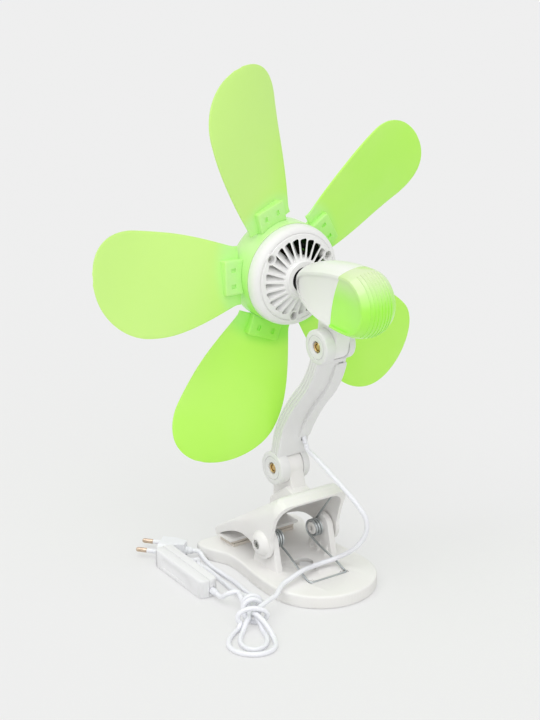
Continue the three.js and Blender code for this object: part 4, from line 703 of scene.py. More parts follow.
LEAD_STEPS, PARTING_SHARE = 400, 0.46
LEAD_POINTS = [(-9.6, 50, 104.5), (-13, 64.5, 95.2), (-18, 79.9, 83.5), (-23, 91.1, 72.2), (-27, 96.6, 61.3),
               (-28.5, 95, 47.7), (-24.5, 86.2, 32.3), (-16.5, 70.5, 19), (-6, 67, 16.6), (5, 68.5, 17),
               (18, 72.8, 18.8), (31, 76.5, 18), (45, 80.5, 16.2)]
lead_line = [lead_start + lead_out * GAP, lead_start + lead_out * 5, *LEAD_POINTS,
             before(supply_route, 5), before(supply_route, GAP)]
lead_route = catmull(lead_line, LEAD_STEPS)
parting = round(LEAD_STEPS * PARTING_SHARE)

AT_SWITCH = placed(SWITCH_X, SWITCH_Y, 0, SWITCH_YAW, "Z")
AT_PLUG = placed(PLUG_X, PLUG_Y, PLUG_HEIGHT / 2, PLUG_ANGLE, "Z")


def end_lead(distance):
    """A place on the lead beyond the switch's end sleeve."""
    return AT_SWITCH @ at(SLEEVE_X, SWITCH_END + SLEEVE_LENGTH + distance, SLEEVE_Z) / MM


def side_lead(distance):
    return AT_SWITCH @ at(-SWITCH_SIDE - SLEEVE_LENGTH - distance, SIDE_SLEEVE_Y, SWITCH_MIDDLE_Z) / MM


def plug_end(distance):
    return AT_PLUG @ at(-PLUG_LENGTH - PLUG_RELIEF - distance, 0, 0) / MM


switch_route = catmull([beyond(supply_route, GAP), beyond(supply_route, 5), (84.2, 60.5, 11.6), end_lead(7),
                        end_lead(0), end_lead(-SLEEVE_LENGTH), end_lead(-SLEEVE_LENGTH - 7)], 80)
plug_lead_route = catmull([before(plug_route, GAP), before(plug_route, 5), (62, 52, 4.4), (57.6, 32, 2.3),
                           (57, 12, 2.3), (56.3, -5, 2.3), (54.8, -18, 3.4), plug_end(5), plug_end(0)], 140)
return_route = catmull([beyond(plug_route, GAP), beyond(plug_route, 5), (69.5, 50, 4.6), (65.5, 28, 2.3),
                        (63.4, 10, 2.3), (63.2, -3, 3.2), (66.2, -10.4, 5.4), side_lead(4.5), side_lead(0),
                        side_lead(-SLEEVE_LENGTH), side_lead(-SLEEVE_LENGTH - 5)], 150)


def piped(name, route, radius, look, body, *nodes):
    """A round lead or wire: a curve through its route, with a fine section."""
    piece = added(bpy.ops.curve.primitive_nurbs_path_add, location=(0, 0, 0))
    line = piece.data
    line.splines.clear()
    spline = line.splines.new("POLY")
    spline.points.add(len(route) - 1)
    for point, place in zip(spline.points, route):
        point.co = (*(place * MM), 1)
    line.dimensions, line.bevel_depth, line.bevel_resolution = "3D", radius * MM, 6
    line.use_fill_caps = spline.use_smooth = True
    return dressed(piece, name, body, look, *nodes)


def free_lead(name, route, body, nodes, lower_body=None):
    """A free stretch of the lead; given a lower body, it is made a mesh and set on no body."""
    piece = piped(name, route, CORD_RADIUS, CORD, None if lower_body else body, *nodes)
    if lower_body:
        only(piece)
        bpy.ops.object.convert(target="MESH")
        route[0] * MM
        route[-1] * MM
        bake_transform(piece)
    route[0] * MM
    length_of(route) * MM
    [place * MM for place in route]
    return piece


# ---------------------------------------------------------------- in-line switch

def rounded_block(half_x, half_y, low, high, corner, edge=0.0):
    """A block with round corners seen from above, and with round top and bottom edges."""
    outline = []
    for x, y, start in ((1, -1, -90), (1, 1, 0), (-1, 1, 90), (-1, -1, 180)):
        outline += arc((x * (half_x - corner), y * (half_y - corner)), corner, start, start + 90, 8)
    piece = prism(outline, "Z", low, high)
    if edge:
        rounded_over(piece, edge, 5, lambda face: abs(face.normal.z) > 0.9)
    return piece


def switch_shell(side):
    """One half of the case: side 1 carries the sunk bare panel, side -1 the rocker."""
    shell = rounded_block(SWITCH_SIDE, SWITCH_END, 0, SWITCH_HEIGHT, 3 + SWITCH_EDGE, SWITCH_EDGE)
    hollow = rounded_block(SWITCH_SIDE - SWITCH_WALL, SWITCH_END - SWITCH_WALL, SWITCH_WALL,
                           SWITCH_HEIGHT - SWITCH_WALL, 0.8)
    away = (-40, GAP / 2) if side > 0 else (-GAP / 2, 40)
    cut(shell, hollow, block(*away, -60, 60, -10, 40),
        rod(SLEEVE_NECK + GAP, "Y", SWITCH_END - 6, SWITCH_END + 6, (SLEEVE_X, 0, SLEEVE_Z)),
        rod(SLEEVE_NECK + GAP, "X", -SWITCH_SIDE - 6, -SWITCH_SIDE + 6, (0, SIDE_SLEEVE_Y, SWITCH_MIDDLE_Z)))
    if side > 0:
        panel = rounded_block(PANEL_HALF, PANEL_END, -2.5, 0, 1.5)
        moved(panel, placed(SWITCH_SIDE - PANEL_SUNK, PANEL_Y, PANEL_Z, -90, "Y"))
        return moved(cut(shell, panel), AT_SWITCH)
    room = rounded_block(ROCKER_HALF + 0.4, ROCKER_LENGTH / 2 + ROCKER_ROOM, -4, 9, 1)
    moved(room, placed(-SWITCH_SIDE + 1.7, ROCKER_Y, SWITCH_MIDDLE_Z, -90, "Y"))
    frame_x = -SWITCH_SIDE + SWITCH_WALL
    for low, high in ((SWITCH_WALL - 0.4, SWITCH_MIDDLE_Z - ROCKER_HALF - 0.6),
                      (SWITCH_MIDDLE_Z + ROCKER_HALF + 0.6, SWITCH_HEIGHT - SWITCH_WALL + 0.4)):
        join(shell, block(frame_x - 0.4, frame_x + 3.4, ROCKER_Y - 3, ROCKER_Y + 3, low, high))
    hole_half = ROCKER_PIN_HALF + 0.4
    cut(shell, room, rod(ROCKER_PIN_RADIUS + GAP, "Z", SWITCH_MIDDLE_Z - hole_half, SWITCH_MIDDLE_Z + hole_half,
                         (ROCKER_PIN_X, ROCKER_Y, 0)))
    return moved(shell, AT_SWITCH)


def rocker():
    """A thumb rocker with a dished face and fine grip lines, on an upright pin."""
    half = ROCKER_LENGTH / 2
    face = [(-SWITCH_SIDE - 1.9 + 1.6 * t / half - 0.25 * cos(pi * t / half), t - half)
            for t in [half * k / 10 for k in range(11)]]
    face += [(-SWITCH_SIDE - 0.3 + (t / half) - 0.25 * cos(pi * t / half) - 0.25, t)
             for t in [half * k / 10 for k in range(1, 11)]]
    outline = face + [(-SWITCH_SIDE + 2.6, half), (-3.2, 2.4), (-3.2, -2.4), (-SWITCH_SIDE + 0.8, -half)]
    body = softened(prism(outline, "Z", -ROCKER_HALF, ROCKER_HALF), 0.5, 3, 40)
    for k in (-3, -2, -1):
        groove = rod(0.35, "Z", -3.4, 3.4, (-SWITCH_SIDE - 1.5 - 0.11 * k, 2.2 * k, 0), 16)
        cut(body, groove)
    join(body, rod(ROCKER_PIN_RADIUS, "Z", -ROCKER_PIN_HALF, ROCKER_PIN_HALF, (ROCKER_PIN_X, 0, 0)))
    return moved(body, AT_SWITCH @ Matrix.Translation(at(0, ROCKER_Y, SWITCH_MIDDLE_Z)))


def sleeve_profile():
    """A strain relief: a flange inside the wall and a ringed taper outside."""
    points = [(SLEEVE_BORE, -3.1), (3.7, -3.1), (3.7, -1.9), (SLEEVE_NECK, -1.9), (SLEEVE_NECK, 1.5)]
    for k in range(4):
        radius = SLEEVE_NECK - 0.06 - 0.1 * k
        low = 1.5 + 1.3 * k
        points += [(radius - 0.3, low + 0.15), (radius - 0.3, low + 0.55), (radius - 0.05, low + 0.7),
                   (radius - 0.08, low + 1.25)]
    return [*points, (2.55, SLEEVE_LENGTH - 0.1), (SLEEVE_BORE, SLEEVE_LENGTH)]


switch_back, switch_front = [
    dressed(softened(switch_shell(side), 0.25, 2, 55), f"switch_shell_{face}_side", "base", SWITCH_WHITE,
            f"switch_case_{half}") for side, face, half in ((1, "panel", "back"), (-1, "rocker", "front"))]
switch_key = dressed(rocker(), "switch_thumb_rocker", "rocker", SWITCH_WHITE, "switch_rocker")
end_sleeve = dressed(moved(turned(sleeve_profile(), "Y", (SLEEVE_X, SWITCH_END, SLEEVE_Z), 48), AT_SWITCH),
                     "switch_end_relief", "base", CORD, "switch_end_sleeve")
side_sleeve = dressed(moved(turned([(r, -d) for r, d in sleeve_profile()], "X",
                                   (-SWITCH_SIDE, SIDE_SLEEVE_Y, SWITCH_MIDDLE_Z), 48), AT_SWITCH),
                      "switch_side_relief", "base", CORD, "switch_side_sleeve")


# ---------------------------------------------------------------- plug

def plug_shell():
    """The moulded grip of a flat two-pin plug, with its relief behind."""
    half, rear, top = PLUG_HALF, PLUG_REAR, PLUG_HEIGHT / 2
    upper = [(0, half - 2), *curve([(0, half - 2), (0, half), (-2, half)], 5),
             *curve([(-2, half), (-PLUG_LENGTH * 0.45, half - 1.5), (-PLUG_LENGTH * 0.75, rear + 1.2)], 14),
             (-PLUG_LENGTH, rear)]
    body = prism(upper + [(x, -y) for x, y in reversed(upper)], "Z", -top, top)
    section = [(-half - 1, -2.2), (-half + 4.5, -top), (half - 4.5, -top), (half + 1, -2.2), (half + 1, 2.2),
               (half - 4.5, top), (-half + 4.5, top), (-half - 1, 2.2)]
    overlap(body, prism(section, "X", -PLUG_LENGTH - 1, 1))
    softened(body, 0.9, 4, 22)
    join(body, turned([(r, -d - PLUG_LENGTH + 1) for r, d in
                       [(0, 0), (3.6, 0), (3.6, 1.6), (3.2, 1.9), (3.2, 2.4), (3.4, 2.7), (3.3, 3.5), (2.9, 3.8),
                        (2.9, 4.3), (3.1, 4.6), (2.9, 5.4), (2.6, 5.7), (2.6, 7), (0, 7)]], "X"))
    cut(body, *[rod(PIN_RADIUS + GAP / 2, "X", -8, 8, (0, side * PIN_PITCH / 2, 0)) for side in (-1, 1)])
    return moved(body, AT_PLUG)


plug_grip = dressed(plug_shell(), "plug_grip", "base", CORD, "plug_body")
plug_pieces = [plug_grip]
for number, side in ((1, -1), (2, 1)):
    pin_centre = (0, side * PIN_PITCH / 2, 0)
    pin_sleeve = turned([(0, -7.5), (PIN_RADIUS, -7.5), *beside(PIN_RADIUS, PIN_SLEEVE, (0, -0.3), (-0.2, 0)),
                         (0, PIN_SLEEVE)], "X", pin_centre, 40)
    neck = beside(PIN_RADIUS, PIN_SLEEVE, (-0.25, -0.5), (-0.25, 0.15), (0, 0.4))
    end = beside(PIN_RADIUS, PIN_LENGTH, (0, -1.6), (-0.35, -0.6), (-1.1, -0.05))
    pin_tip = turned([(0, PIN_SLEEVE - 0.5), *neck, *end, (0, PIN_LENGTH)], "X", pin_centre, 40)
    plug_pieces += [dressed(moved(pin_tip, AT_PLUG), f"pin_tip_{number}", "base", PIN_METAL,
                            f"plug_pin_{number}"),
                    dressed(moved(pin_sleeve, AT_PLUG), f"pin_sleeve_{number}", "base", CORD)]

half_way = parting // 2
free_lead("hanging_lead", lead_route[:half_way + 1], "arm", ["cord_drop"],
          lower_body="upper_jaw")
free_lead("landing_lead", lead_route[half_way:parting + 1], "upper_jaw", [],
          lower_body="base")
free_lead("tied_lead", lead_route[parting:] + supply_route + switch_route, "base",
          ["cord_run", "cord_knot", "switch_lead"])
free_lead("plug_end_lead", return_route[::-1] + plug_route[::-1] + plug_lead_route, "base",
          ["return_lead", "plug_cord_loop", "plug_lead"])
piped("arm_channel_wire", wire_route, ARM_WIRE_RADIUS, CORD, "arm", "arm_wire")


# ---------------------------------------------------------------- stand, the lower jaw of the clamp

def base_outline(inset):
    """The stand seen from above, drawn in by `inset`."""
    half, front, waist = BASE_HALF - inset, BASE_FRONT_HALF - inset, BASE_WAIST_HALF - inset
    front_y, corner = BASE_FRONT_Y + inset, 9
    side = [(front - corner, front_y)]
    side += curve([side[-1], (front, front_y), (front, front_y + corner)], 8)
    side += curve([side[-1], (front, front_y + 22), (waist, BASE_WAIST_Y - 14), (waist, BASE_WAIST_Y)], 14)
    side += curve([side[-1], (waist, BASE_WAIST_Y + 20), (half, BASE_END_Y - 34), (half, BASE_END_Y)], 18)
    return side + arc((0, BASE_END_Y), half, 0, 180, 48)[1:-1] + [(-x, y) for x, y in reversed(side)]


def keyhole():
    shoulder = degrees(asin(KEYHOLE_SLOT / 2 / KEYHOLE_RADIUS))
    return prism(arc((0, KEYHOLE_Y), KEYHOLE_RADIUS, 90 + shoulder, 450 - shoulder, 40)
                 + arc((0, KEYHOLE_SLOT_END), KEYHOLE_SLOT / 2, 0, 180, 12), "Z", -1, BASE_HEIGHT + 1)


def stand_ear(side):
    """An ear with the spigot for the spring and three small buttresses inside it."""
    inner, outer = sorted((side * EAR_INNER, side * (EAR_INNER + EAR_THICK)))
    spigot = sorted((side * (EAR_INNER - SPIGOT_LENGTH), side * (EAR_INNER + 1)))
    foot = BASE_HEIGHT - BASE_TOP / 2
    ear = prism([(19, foot), *arc((HINGE_Y, HINGE_Z), EAR_RADIUS, 165, 15, 28), (54, foot)], "X", inner, outer)
    softened(ear, 0.8, 3, 60)
    join(ear, softened(rod(SPIGOT_RADIUS, "X", *spigot, HINGE), 0.5, 3))
    face = side * EAR_INNER
    for y in BUTTRESSES_Y:
        join(ear, prism([(face + side, BASE_HEIGHT - 1), (face - side * BUTTRESS_REACH, BASE_HEIGHT - 1),
                         (face + side, HINGE_Z - EAR_RADIUS)], "Y", y - 1, y + 1))
    return ear


def spring_groove():
    half, low, high = WIRE_RADIUS + 0.6, BASE_HEIGHT - SPRING_GROOVE, BASE_HEIGHT + 1
    rear = SPRING_BRIDGE_Y + half
    bar = block(-SPRING_LEG_X, SPRING_LEG_X, SPRING_BRIDGE_Y - half, rear, low, high)
    for side in (-1, 1):
        leg, corner = side * SPRING_LEG_X, side * (SPRING_LEG_X - 2)
        join(bar, block(leg - half, leg + half, SPRING_BRIDGE_Y - 7.5, rear, low, high),
             block(corner - 3, corner + 3, SPRING_BRIDGE_Y - 4, rear, low, high))
    return bar


def stand():
    slab = rounded_over(prism(base_outline(0), "Z", 0, BASE_HEIGHT), BASE_EDGE, 6, lambda face: face.normal.z > 0.9)
    hollow = prism(base_outline(BASE_WALL), "Z", -1, BASE_HEIGHT - BASE_TOP)
    cut(hollow, *[block(x - BASE_RIB / 2, x + BASE_RIB / 2, -60, 140, -2, BASE_HEIGHT) for x in BASE_RIBS_X],
        *[block(-70, 70, y - BASE_RIB / 2, y + BASE_RIB / 2, -2, BASE_HEIGHT) for y in BASE_RIBS_Y],
        block(-70, 70, -7, 7, -2, BASE_HEIGHT))
    cut(slab, hollow)
    join(slab, stand_ear(1), stand_ear(-1))
    cut(slab, keyhole(), spring_groove(),
        *[rod(SCREW_RADIUS + GAP, "X", low, high, HINGE) for low, high in ((12, 60), (-60, -12))])
    return softened(slab, 0.3, 2, 55)


def ribbed_pad(low, up):
    """A rubber pad with round ribs across it, facing up or down."""
    crest, back = (low + PAD_THICK, low) if up > 0 else (low, low + PAD_THICK)
    pitch, front = PAD_LENGTH / PAD_RIBS, JAW_TIP_Y + 1
    points = []
    for k in range(PAD_RIBS):
        points += [(front + pitch * (k + share), crest - up * PAD_RIB_DEPTH * drop)
                   for share, drop in ((0, 1), (0.16, 0.3), (0.32, 0), (0.68, 0), (0.84, 0.3))]
    points += [(front + PAD_LENGTH, crest - up * PAD_RIB_DEPTH), (front + PAD_LENGTH, back), (front, back)]
    return prism(points, "X", -PAD_HALF, PAD_HALF)


dressed(stand(), "clamp_stand", "base", JAW_WHITE, "lower_jaw")
for jaw, body, low, up in (("lower", "base", BASE_HEIGHT + GAP * 0.1, 1),
                           ("upper", "upper_jaw", JAW_TIP_LOW - GAP * 0.1 - PAD_THICK, -1)):
    dressed(ribbed_pad(low, up), f"{jaw}_grip_pad", body, PAD, f"{jaw}_jaw_pad", angle=50)


# ---------------------------------------------------------------- upper jaw with its handle

RIDGE_TAN = (JAW_RIDGE_Z - JAW_TIP_HIGH) / (JAW_RIDGE_Y - JAW_TIP_Y - 1.5)
RIDGE_ANGLE = atan(RIDGE_TAN)


def jaw_outline():
    points = [(JAW_TIP_Y + 1, JAW_TIP_LOW), (JAW_TIP_Y, JAW_TIP_LOW + 3.5)]
    points += curve([points[-1], (JAW_TIP_Y, JAW_TIP_HIGH - 1), (JAW_TIP_Y + 1.5, JAW_TIP_HIGH)], 6)
    points.append((JAW_RIDGE_Y - 6, JAW_RIDGE_Z - 6 * RIDGE_TAN))
    points += curve([points[-1], (JAW_RIDGE_Y + 2, JAW_RIDGE_Z + 0.5), (JAW_RIDGE_Y + 5, JAW_RIDGE_Z - 3.2)], 10)
    points.append((JAW_REAR_Y, JAW_REAR_Z))
    points += curve([points[-1], (54.5, 61), (HINGE_Y + JAW_EAR + 0.6, 44)], 14)
    points += arc((HINGE_Y, HINGE_Z), JAW_EAR, 20, -155, 44)
    points += curve([points[-1], (19, 32.6), (8, 32.4)], 10)
    points += curve([points[-1], (-6, 31.5), (JAW_TIP_Y + 1, JAW_TIP_LOW)], 12)[:-1]
    return points


def jaw_envelope():
    """The space under the jaw's top surface, whose long edges round off more and more towards the handle."""
    piece = added(bpy.ops.mesh.primitive_grid_add, x_subdivisions=40, y_subdivisions=60, size=2)
    for vertex in piece.data.vertices:
        across, y = vertex.co.x, 20 + 60 * vertex.co.y
        round_off = JAW_SHOULDER_TIP + (JAW_SHOULDER - JAW_SHOULDER_TIP) * smooth((y + 20) / 60)
        turn = pi * max(0.0, abs(across) - 0.5)
        x = min(abs(across) / 0.5, 1) * (JAW_HALF - round_off) + round_off * sin(turn)
        vertex.co = at(copysign(x, across), y, JAW_TIP_HIGH + 0.02 + (min(y, JAW_RIDGE_Y) - JAW_TIP_Y - 1.5)
                       * RIDGE_TAN - JAW_REAR_FALL * max(0, y - JAW_RIDGE_Y) - round_off * (1 - cos(turn)))
    only(piece)
    editing(True)
    bpy.ops.mesh.select_all(action="SELECT")
    bpy.ops.mesh.extrude_region_move(TRANSFORM_OT_translate={"value": at(0, 0, -110)})
    return closed_off(piece)


def jaw_room():
    """The hollow under the jaw's plate."""
    def inside(y, z):
        return y + sin(RIDGE_ANGLE) * JAW_PLATE, z - cos(RIDGE_ANGLE) * JAW_PLATE
    front = inside(JAW_TIP_Y + 7, JAW_TIP_HIGH + 5.5 * RIDGE_TAN)
    ridge = inside(JAW_RIDGE_Y - 1, JAW_RIDGE_Z - RIDGE_TAN)
    rear, low = (JAW_REAR_Y - 1.4, JAW_REAR_Z - 2.6), JAW_TIP_LOW + 2.2
    room = prism([(front[0], low), front, ridge, rear, (100, 45), (100, 0), (front[0] + 20, 0),
                  (front[0] + 20, low)], "X", JAW_WALL - JAW_HALF, JAW_HALF - JAW_WALL)
    crest = [at(0, *point) for point in (front, ridge, rear, (100, 45))]
    on_crest = [any(abs(v.co.y - c.y) < 1e-5 and abs(v.co.z - c.z) < 1e-5 for c in crest) for v in room.data.vertices]
    for edge in room.data.edges:
        one, two = edge.vertices
        same_side = room.data.vertices[one].co.x * room.data.vertices[two].co.x > 0
        edge.select = on_crest[one] and on_crest[two] and same_side
    for polygon in room.data.polygons:
        polygon.select = False
    only(room)
    bpy.context.tool_settings.mesh_select_mode = (False, True, False)
    editing(True)
    bpy.ops.mesh.bevel(offset=JAW_ARCH * MM, segments=10, affect="EDGES")
    editing(False)
    return room


def jaw_tongue():
    """The tongue that the arm's lower fork closes on, with its flared foot."""
    def foot(y):
        return JAW_TIP_HIGH + (y - JAW_TIP_Y - 1.5) * RIDGE_TAN - 1
    tongue = prism([(13, foot(13)), (13, foot(13) + 11), *arc(LOWER_KNUCKLE, TONGUE_RADIUS, 190, -12, 40),
                    (41, foot(41))], "X", FAR_INNER + GAP, NEAR_INNER - GAP)
    base = prism([(12, foot(12)), (13, foot(13) + 9.5), (35, foot(35) + 11), (46, foot(46))], "X", -9.5, 9.5)
    return join(softened(tongue, 0.5, 3, 50), softened(base, 1.2, 4, 40))


def jaw_boss(side):
    wall, rim = JAW_HALF - 0.5, JAW_HALF + BOSS_HEIGHT
    profile = [(0, wall), (BOSS_RADIUS + 0.6, wall), (BOSS_RADIUS + 0.2, JAW_HALF + 0.25),
               (BOSS_RADIUS - 0.4, JAW_HALF + 0.8)]
    profile += curve([profile[-1], (BOSS_RADIUS - 1.6, rim - 1.8), (BOSS_RIM + 0.9, rim - 0.5)], 8)
    profile += [(BOSS_RIM + 0.4, rim - 0.15), (BOSS_RIM, rim), (0, rim)]
    return turned([(r, side * x) for r, x in profile], "X", HINGE, 72)


def upper_jaw():
    jaw = softened(overlap(prism(jaw_outline(), "X", -JAW_HALF, JAW_HALF), jaw_envelope()), 0.9, 4, 62)
    cut(jaw, jaw_room())
    web = block(0.5 - JAW_HALF, JAW_HALF - 0.5, JAW_TIP_Y + 2.5, JAW_TIP_Y + PAD_LENGTH + 2, JAW_TIP_LOW,
                JAW_TIP_LOW + 2.4)
    join(jaw, web, jaw_tongue(), jaw_boss(1), jaw_boss(-1))
    knuckle = (0, *LOWER_KNUCKLE)
    cut(jaw, rod(CHEEK_RADIUS + 1.2, "X", NEAR_INNER - GAP, NEAR_OUTER + 3, knuckle, 72),
        rod(CHEEK_RADIUS + 1.2, "X", FAR_OUTER - 3, FAR_INNER + GAP, knuckle, 72),
        rod(BOLT_RADIUS + GAP, "X", -20, 20, knuckle))
    for side in (-1, 1):
        head = sorted((side * (JAW_HALF + BOSS_HEIGHT - 2.8), side * 60))
        shank = sorted((side * 20, side * 60))
        cut(jaw, rod(SCREW_HEAD + GAP, "X", *head, HINGE), rod(SCREW_RADIUS + GAP, "X", *shank, HINGE))
    return softened(jaw, 0.35, 2, 55)


def pivot_screw(side):
    """A cross-head screw from the boss into the stand's ear."""
    seat = JAW_HALF + BOSS_HEIGHT - 2.5
    top = seat + 2
    profile = [(0, EAR_INNER - SPIGOT_LENGTH + 2), (SCREW_RADIUS, EAR_INNER - SPIGOT_LENGTH + 2),
               (SCREW_RADIUS, seat), (SCREW_HEAD, seat),
               *beside(SCREW_HEAD, top, (0, -1), (-0.25, -0.5), (-0.9, -0.15), (-1.9, 0)), (0, top)]
    screw = turned([(r, side * x) for r, x in profile], "X", HINGE, 48)
    low, high = sorted((side * (top - 1.1), side * (top + 1)))
    return cut(screw, *cross_slot("X", low, high, HINGE_Y, HINGE_Z, 2.1, 0.4))


dressed(upper_jaw(), "clamp_upper_jaw", "upper_jaw", JAW_WHITE, "upper_jaw")
for end, side in (("near", 1), ("far", -1)):
    dressed(pivot_screw(side), f"pivot_screw_{end}", "upper_jaw", ZINC, f"clamp_screw_{end}")


# ---------------------------------------------------------------- clamp spring

def on_coil(angle, x):
    turn = radians(angle)
    return Vector((x, HINGE_Y + COIL_RADIUS * cos(turn), HINGE_Z + COIL_RADIUS * sin(turn)))


def spring_half():
    """Half of the double torsion spring on the stand: its coil, its lower leg and half of its bridge."""
    turned_by = COIL_TURNS * 360 + LOWER_LEG_ANGLE - UPPER_LEG_ANGLE
    count = round(turned_by / 12)
    points = [on_coil(UPPER_LEG_ANGLE + turned_by * k / count, COIL_OUTER_X - COIL_PITCH * turned_by * k / 360 / count)
              for k in range(count + 1)]
    end, bridge_z = points[-1], BASE_HEIGHT - SPRING_GROOVE + WIRE_RADIUS + GAP
    down = [Vector((end.x + (SPRING_LEG_X - end.x) * smooth((t - 0.2) / 0.7),
                    end.y + (SPRING_BRIDGE_Y - 3 - end.y) * t, end.z + (bridge_z - end.z) * t))
            for t in (0.1, 0.25, 0.5, 0.75, 0.92, 1)]
    bend = [(SPRING_LEG_X - 1, SPRING_BRIDGE_Y - 0.9, bridge_z), (SPRING_LEG_X - 3, SPRING_BRIDGE_Y, bridge_z),
            (SPRING_LEG_X - 5, SPRING_BRIDGE_Y, bridge_z), (0.5, SPRING_BRIDGE_Y, bridge_z)]
    return [*points, *catmull([end, *down, *bend], 60)[1:]]


def mirrored(points):
    return [Vector((-p[0], p[1], p[2])) for p in reversed(points)]


def spring_leg(side):
    """An upper leg with the stretch of coil that it unwinds from as the clamp opens."""
    start = on_coil(UPPER_LEG_ANGLE, COIL_OUTER_X)
    rise = radians(UPPER_LEG_ANGLE - 90)
    along = Vector((0, cos(rise), sin(rise)))
    points = [start + along * UPPER_LEG_LENGTH * share for share in (1, 0.8, 0.6, 0.4, 0.2, 0.08)]
    points += [on_coil(UPPER_LEG_ANGLE + turn, COIL_OUTER_X - COIL_PITCH * turn / 360) for turn in range(0, 56, 5)]
    return [Vector((side * p.x, p.y, p.z)) for p in points]


half_spring = spring_half()
piped("torsion_spring", [*half_spring, *mirrored(half_spring)], WIRE_RADIUS, WIRE_STEEL, "base", "clamp_spring")
for end, side in (("near", 1), ("far", -1)):
    piped(f"spring_leg_{end}", spring_leg(side), WIRE_RADIUS - 0.04, WIRE_STEEL, "upper_jaw")


# ---------------------------------------------------------------- arm

KNUCKLES = (LOWER_KNUCKLE, UPPER_KNUCKLE)


def arm_band(front, back, low=0.0, high=1.0, steps=60):
    """The outline between two lines beside the arm's own; either offset may be a function of the share."""
    shares = [low + (high - low) * k / steps for k in range(steps + 1)]
    lines = [[on_arm(share, offset(share) if callable(offset) else offset) for share in shares]
             for offset in (back, front)]
    return lines[0] + lines[1][::-1]


def near_cheek(knuckle):
    """The round cheek with its ring groove and the pocket for the nut."""
    pocket = NEAR_OUTER - NUT_HEIGHT - 1
    rim = beside(CHEEK_RADIUS, NEAR_OUTER, (0, -1.2), (-0.15, -0.6), (-0.5, -0.2), (-1.1, 0))
    groove = beside(0, NEAR_OUTER, (10.25, 0), (10.1, -0.15), (10.05, -0.6), (9.55, -0.6), (9.5, -0.15), (9.35, 0))
    mouth = beside(NUT_RADIUS, NEAR_OUTER, (1.2, 0), (0.95, -0.12), (0.8, -0.4))
    return turned([(0, NEAR_INNER), (CHEEK_RADIUS, NEAR_INNER), *rim, *groove, *mouth, (NUT_RADIUS + 0.5, pocket),
                   (0, pocket)], "X", (0, *knuckle), 96)


def far_cheek(knuckle):
    rim = beside(FAR_CHEEK_RADIUS, FAR_OUTER, (0, 1.2), (-0.15, 0.6), (-0.5, 0.2), (-1.1, 0))
    mouth = beside(NUT_RADIUS, FAR_OUTER, (1, 0), (0.7, 0.3), (0.7, 2))
    return turned([(0, FAR_INNER), (FAR_CHEEK_RADIUS, FAR_INNER), *rim, *mouth, (0, FAR_OUTER + 2)], "X",
                  (0, *knuckle), 96)


def arm():
    side = NEAR_OUTER - 0.6
    band = softened(prism(arm_band(-ARM_HALF, ARM_HALF), "X", FAR_OUTER, side), 1.2, 4, 60)
    for k in range(4):
        centre = -ARM_HALF + (k + 0.5) * ARM_HALF / 2
        join(band, softened(prism(arm_band(centre - 0.5, centre + 0.5, 0.1, 0.9), "X", side - 0.2, NEAR_OUTER - 0.05),
                            0.2, 2, 60))
    join(band, *[near_cheek(end) for end in KNUCKLES], *[far_cheek(end) for end in KNUCKLES])
    for end in KNUCKLES:
        place = (0, *end)
        cut(band, rod(TONGUE_RADIUS + 1, "X", FAR_INNER, NEAR_INNER, place, 72),
            rod(CHEEK_RADIUS + 3, "X", NEAR_OUTER, NEAR_OUTER + 5, place), rod(BOLT_RADIUS + GAP, "X", -20, 20, place),
            rod(NUT_RADIUS + 0.5, "X", NEAR_OUTER - NUT_HEIGHT - 1, NEAR_OUTER + 2, place),
            rod(NUT_RADIUS + 0.5, "X", FAR_OUTER - 2, FAR_OUTER + 2, place))
    cut(band, block(FAR_INNER, NEAR_INNER, 0, 60, LOWER_KNUCKLE[1] - 30, LOWER_KNUCKLE[1]),
        block(FAR_INNER, NEAR_INNER, 60, 110, UPPER_KNUCKLE[1], UPPER_KNUCKLE[1] + 30),
        prism(arm_band(ARM_HALF - CHANNEL_DEPTH, ARM_HALF + 2, CHANNEL_FROM, CHANNEL_TO), "X",
              CHANNEL_X - CHANNEL_WIDTH / 2, CHANNEL_X + CHANNEL_WIDTH / 2))
    return band


def cover_rise(share):
    middle = (share - COVER_FROM) / (COVER_TO - COVER_FROM)
    return ARM_HALF + GAP + 0.8 + (COVER_THICK - 0.8) * sqrt(max(0.0, sin(pi * middle)))


def knuckle_bolt(knuckle):
    head, seat = NUT_RADIUS - 0.2, FAR_OUTER + 2 - GAP
    profile = [(0, seat - 1.8), (head - 1.1, seat - 1.8), (head - 0.4, seat - 1.55), (head, seat - 1.0), (head, seat),
               (BOLT_RADIUS, seat), (BOLT_RADIUS, NEAR_OUTER - 2.1), (BOLT_RADIUS - 0.5, NEAR_OUTER - 1.6),
               (0, NEAR_OUTER - 1.6)]
    bolt = turned(profile, "X", (0, *knuckle), 48)
    return cut(bolt, *cross_slot("X", seat - 3, seat - 0.8, *knuckle, 2.2, 0.4))


def knuckle_nut(knuckle):
    low = NEAR_OUTER - NUT_HEIGHT - 1 + GAP
    hexagon = [(y + knuckle[0], z + knuckle[1]) for y, z in arc((0, 0), NUT_RADIUS, 0, 300, 5)]
    nut = prism(hexagon, "X", low, low + NUT_HEIGHT)
    high, bore = low + NUT_HEIGHT, BOLT_RADIUS + GAP
    overlap(nut, turned([(0, low - 0.5), (NUT_RADIUS + 0.3, low - 0.5), (NUT_RADIUS + 0.3, high - 1.0),
                         (NUT_RADIUS - 0.7, high + 0.1), (0, high + 0.1)], "X", (0, *knuckle)))
    return cut(nut, turned([(0, low - 1), (bore, low - 1), (bore, high - 0.5), (bore + 0.8, high + 0.3),
                            (0, high + 0.3)], "X", (0, *knuckle)))


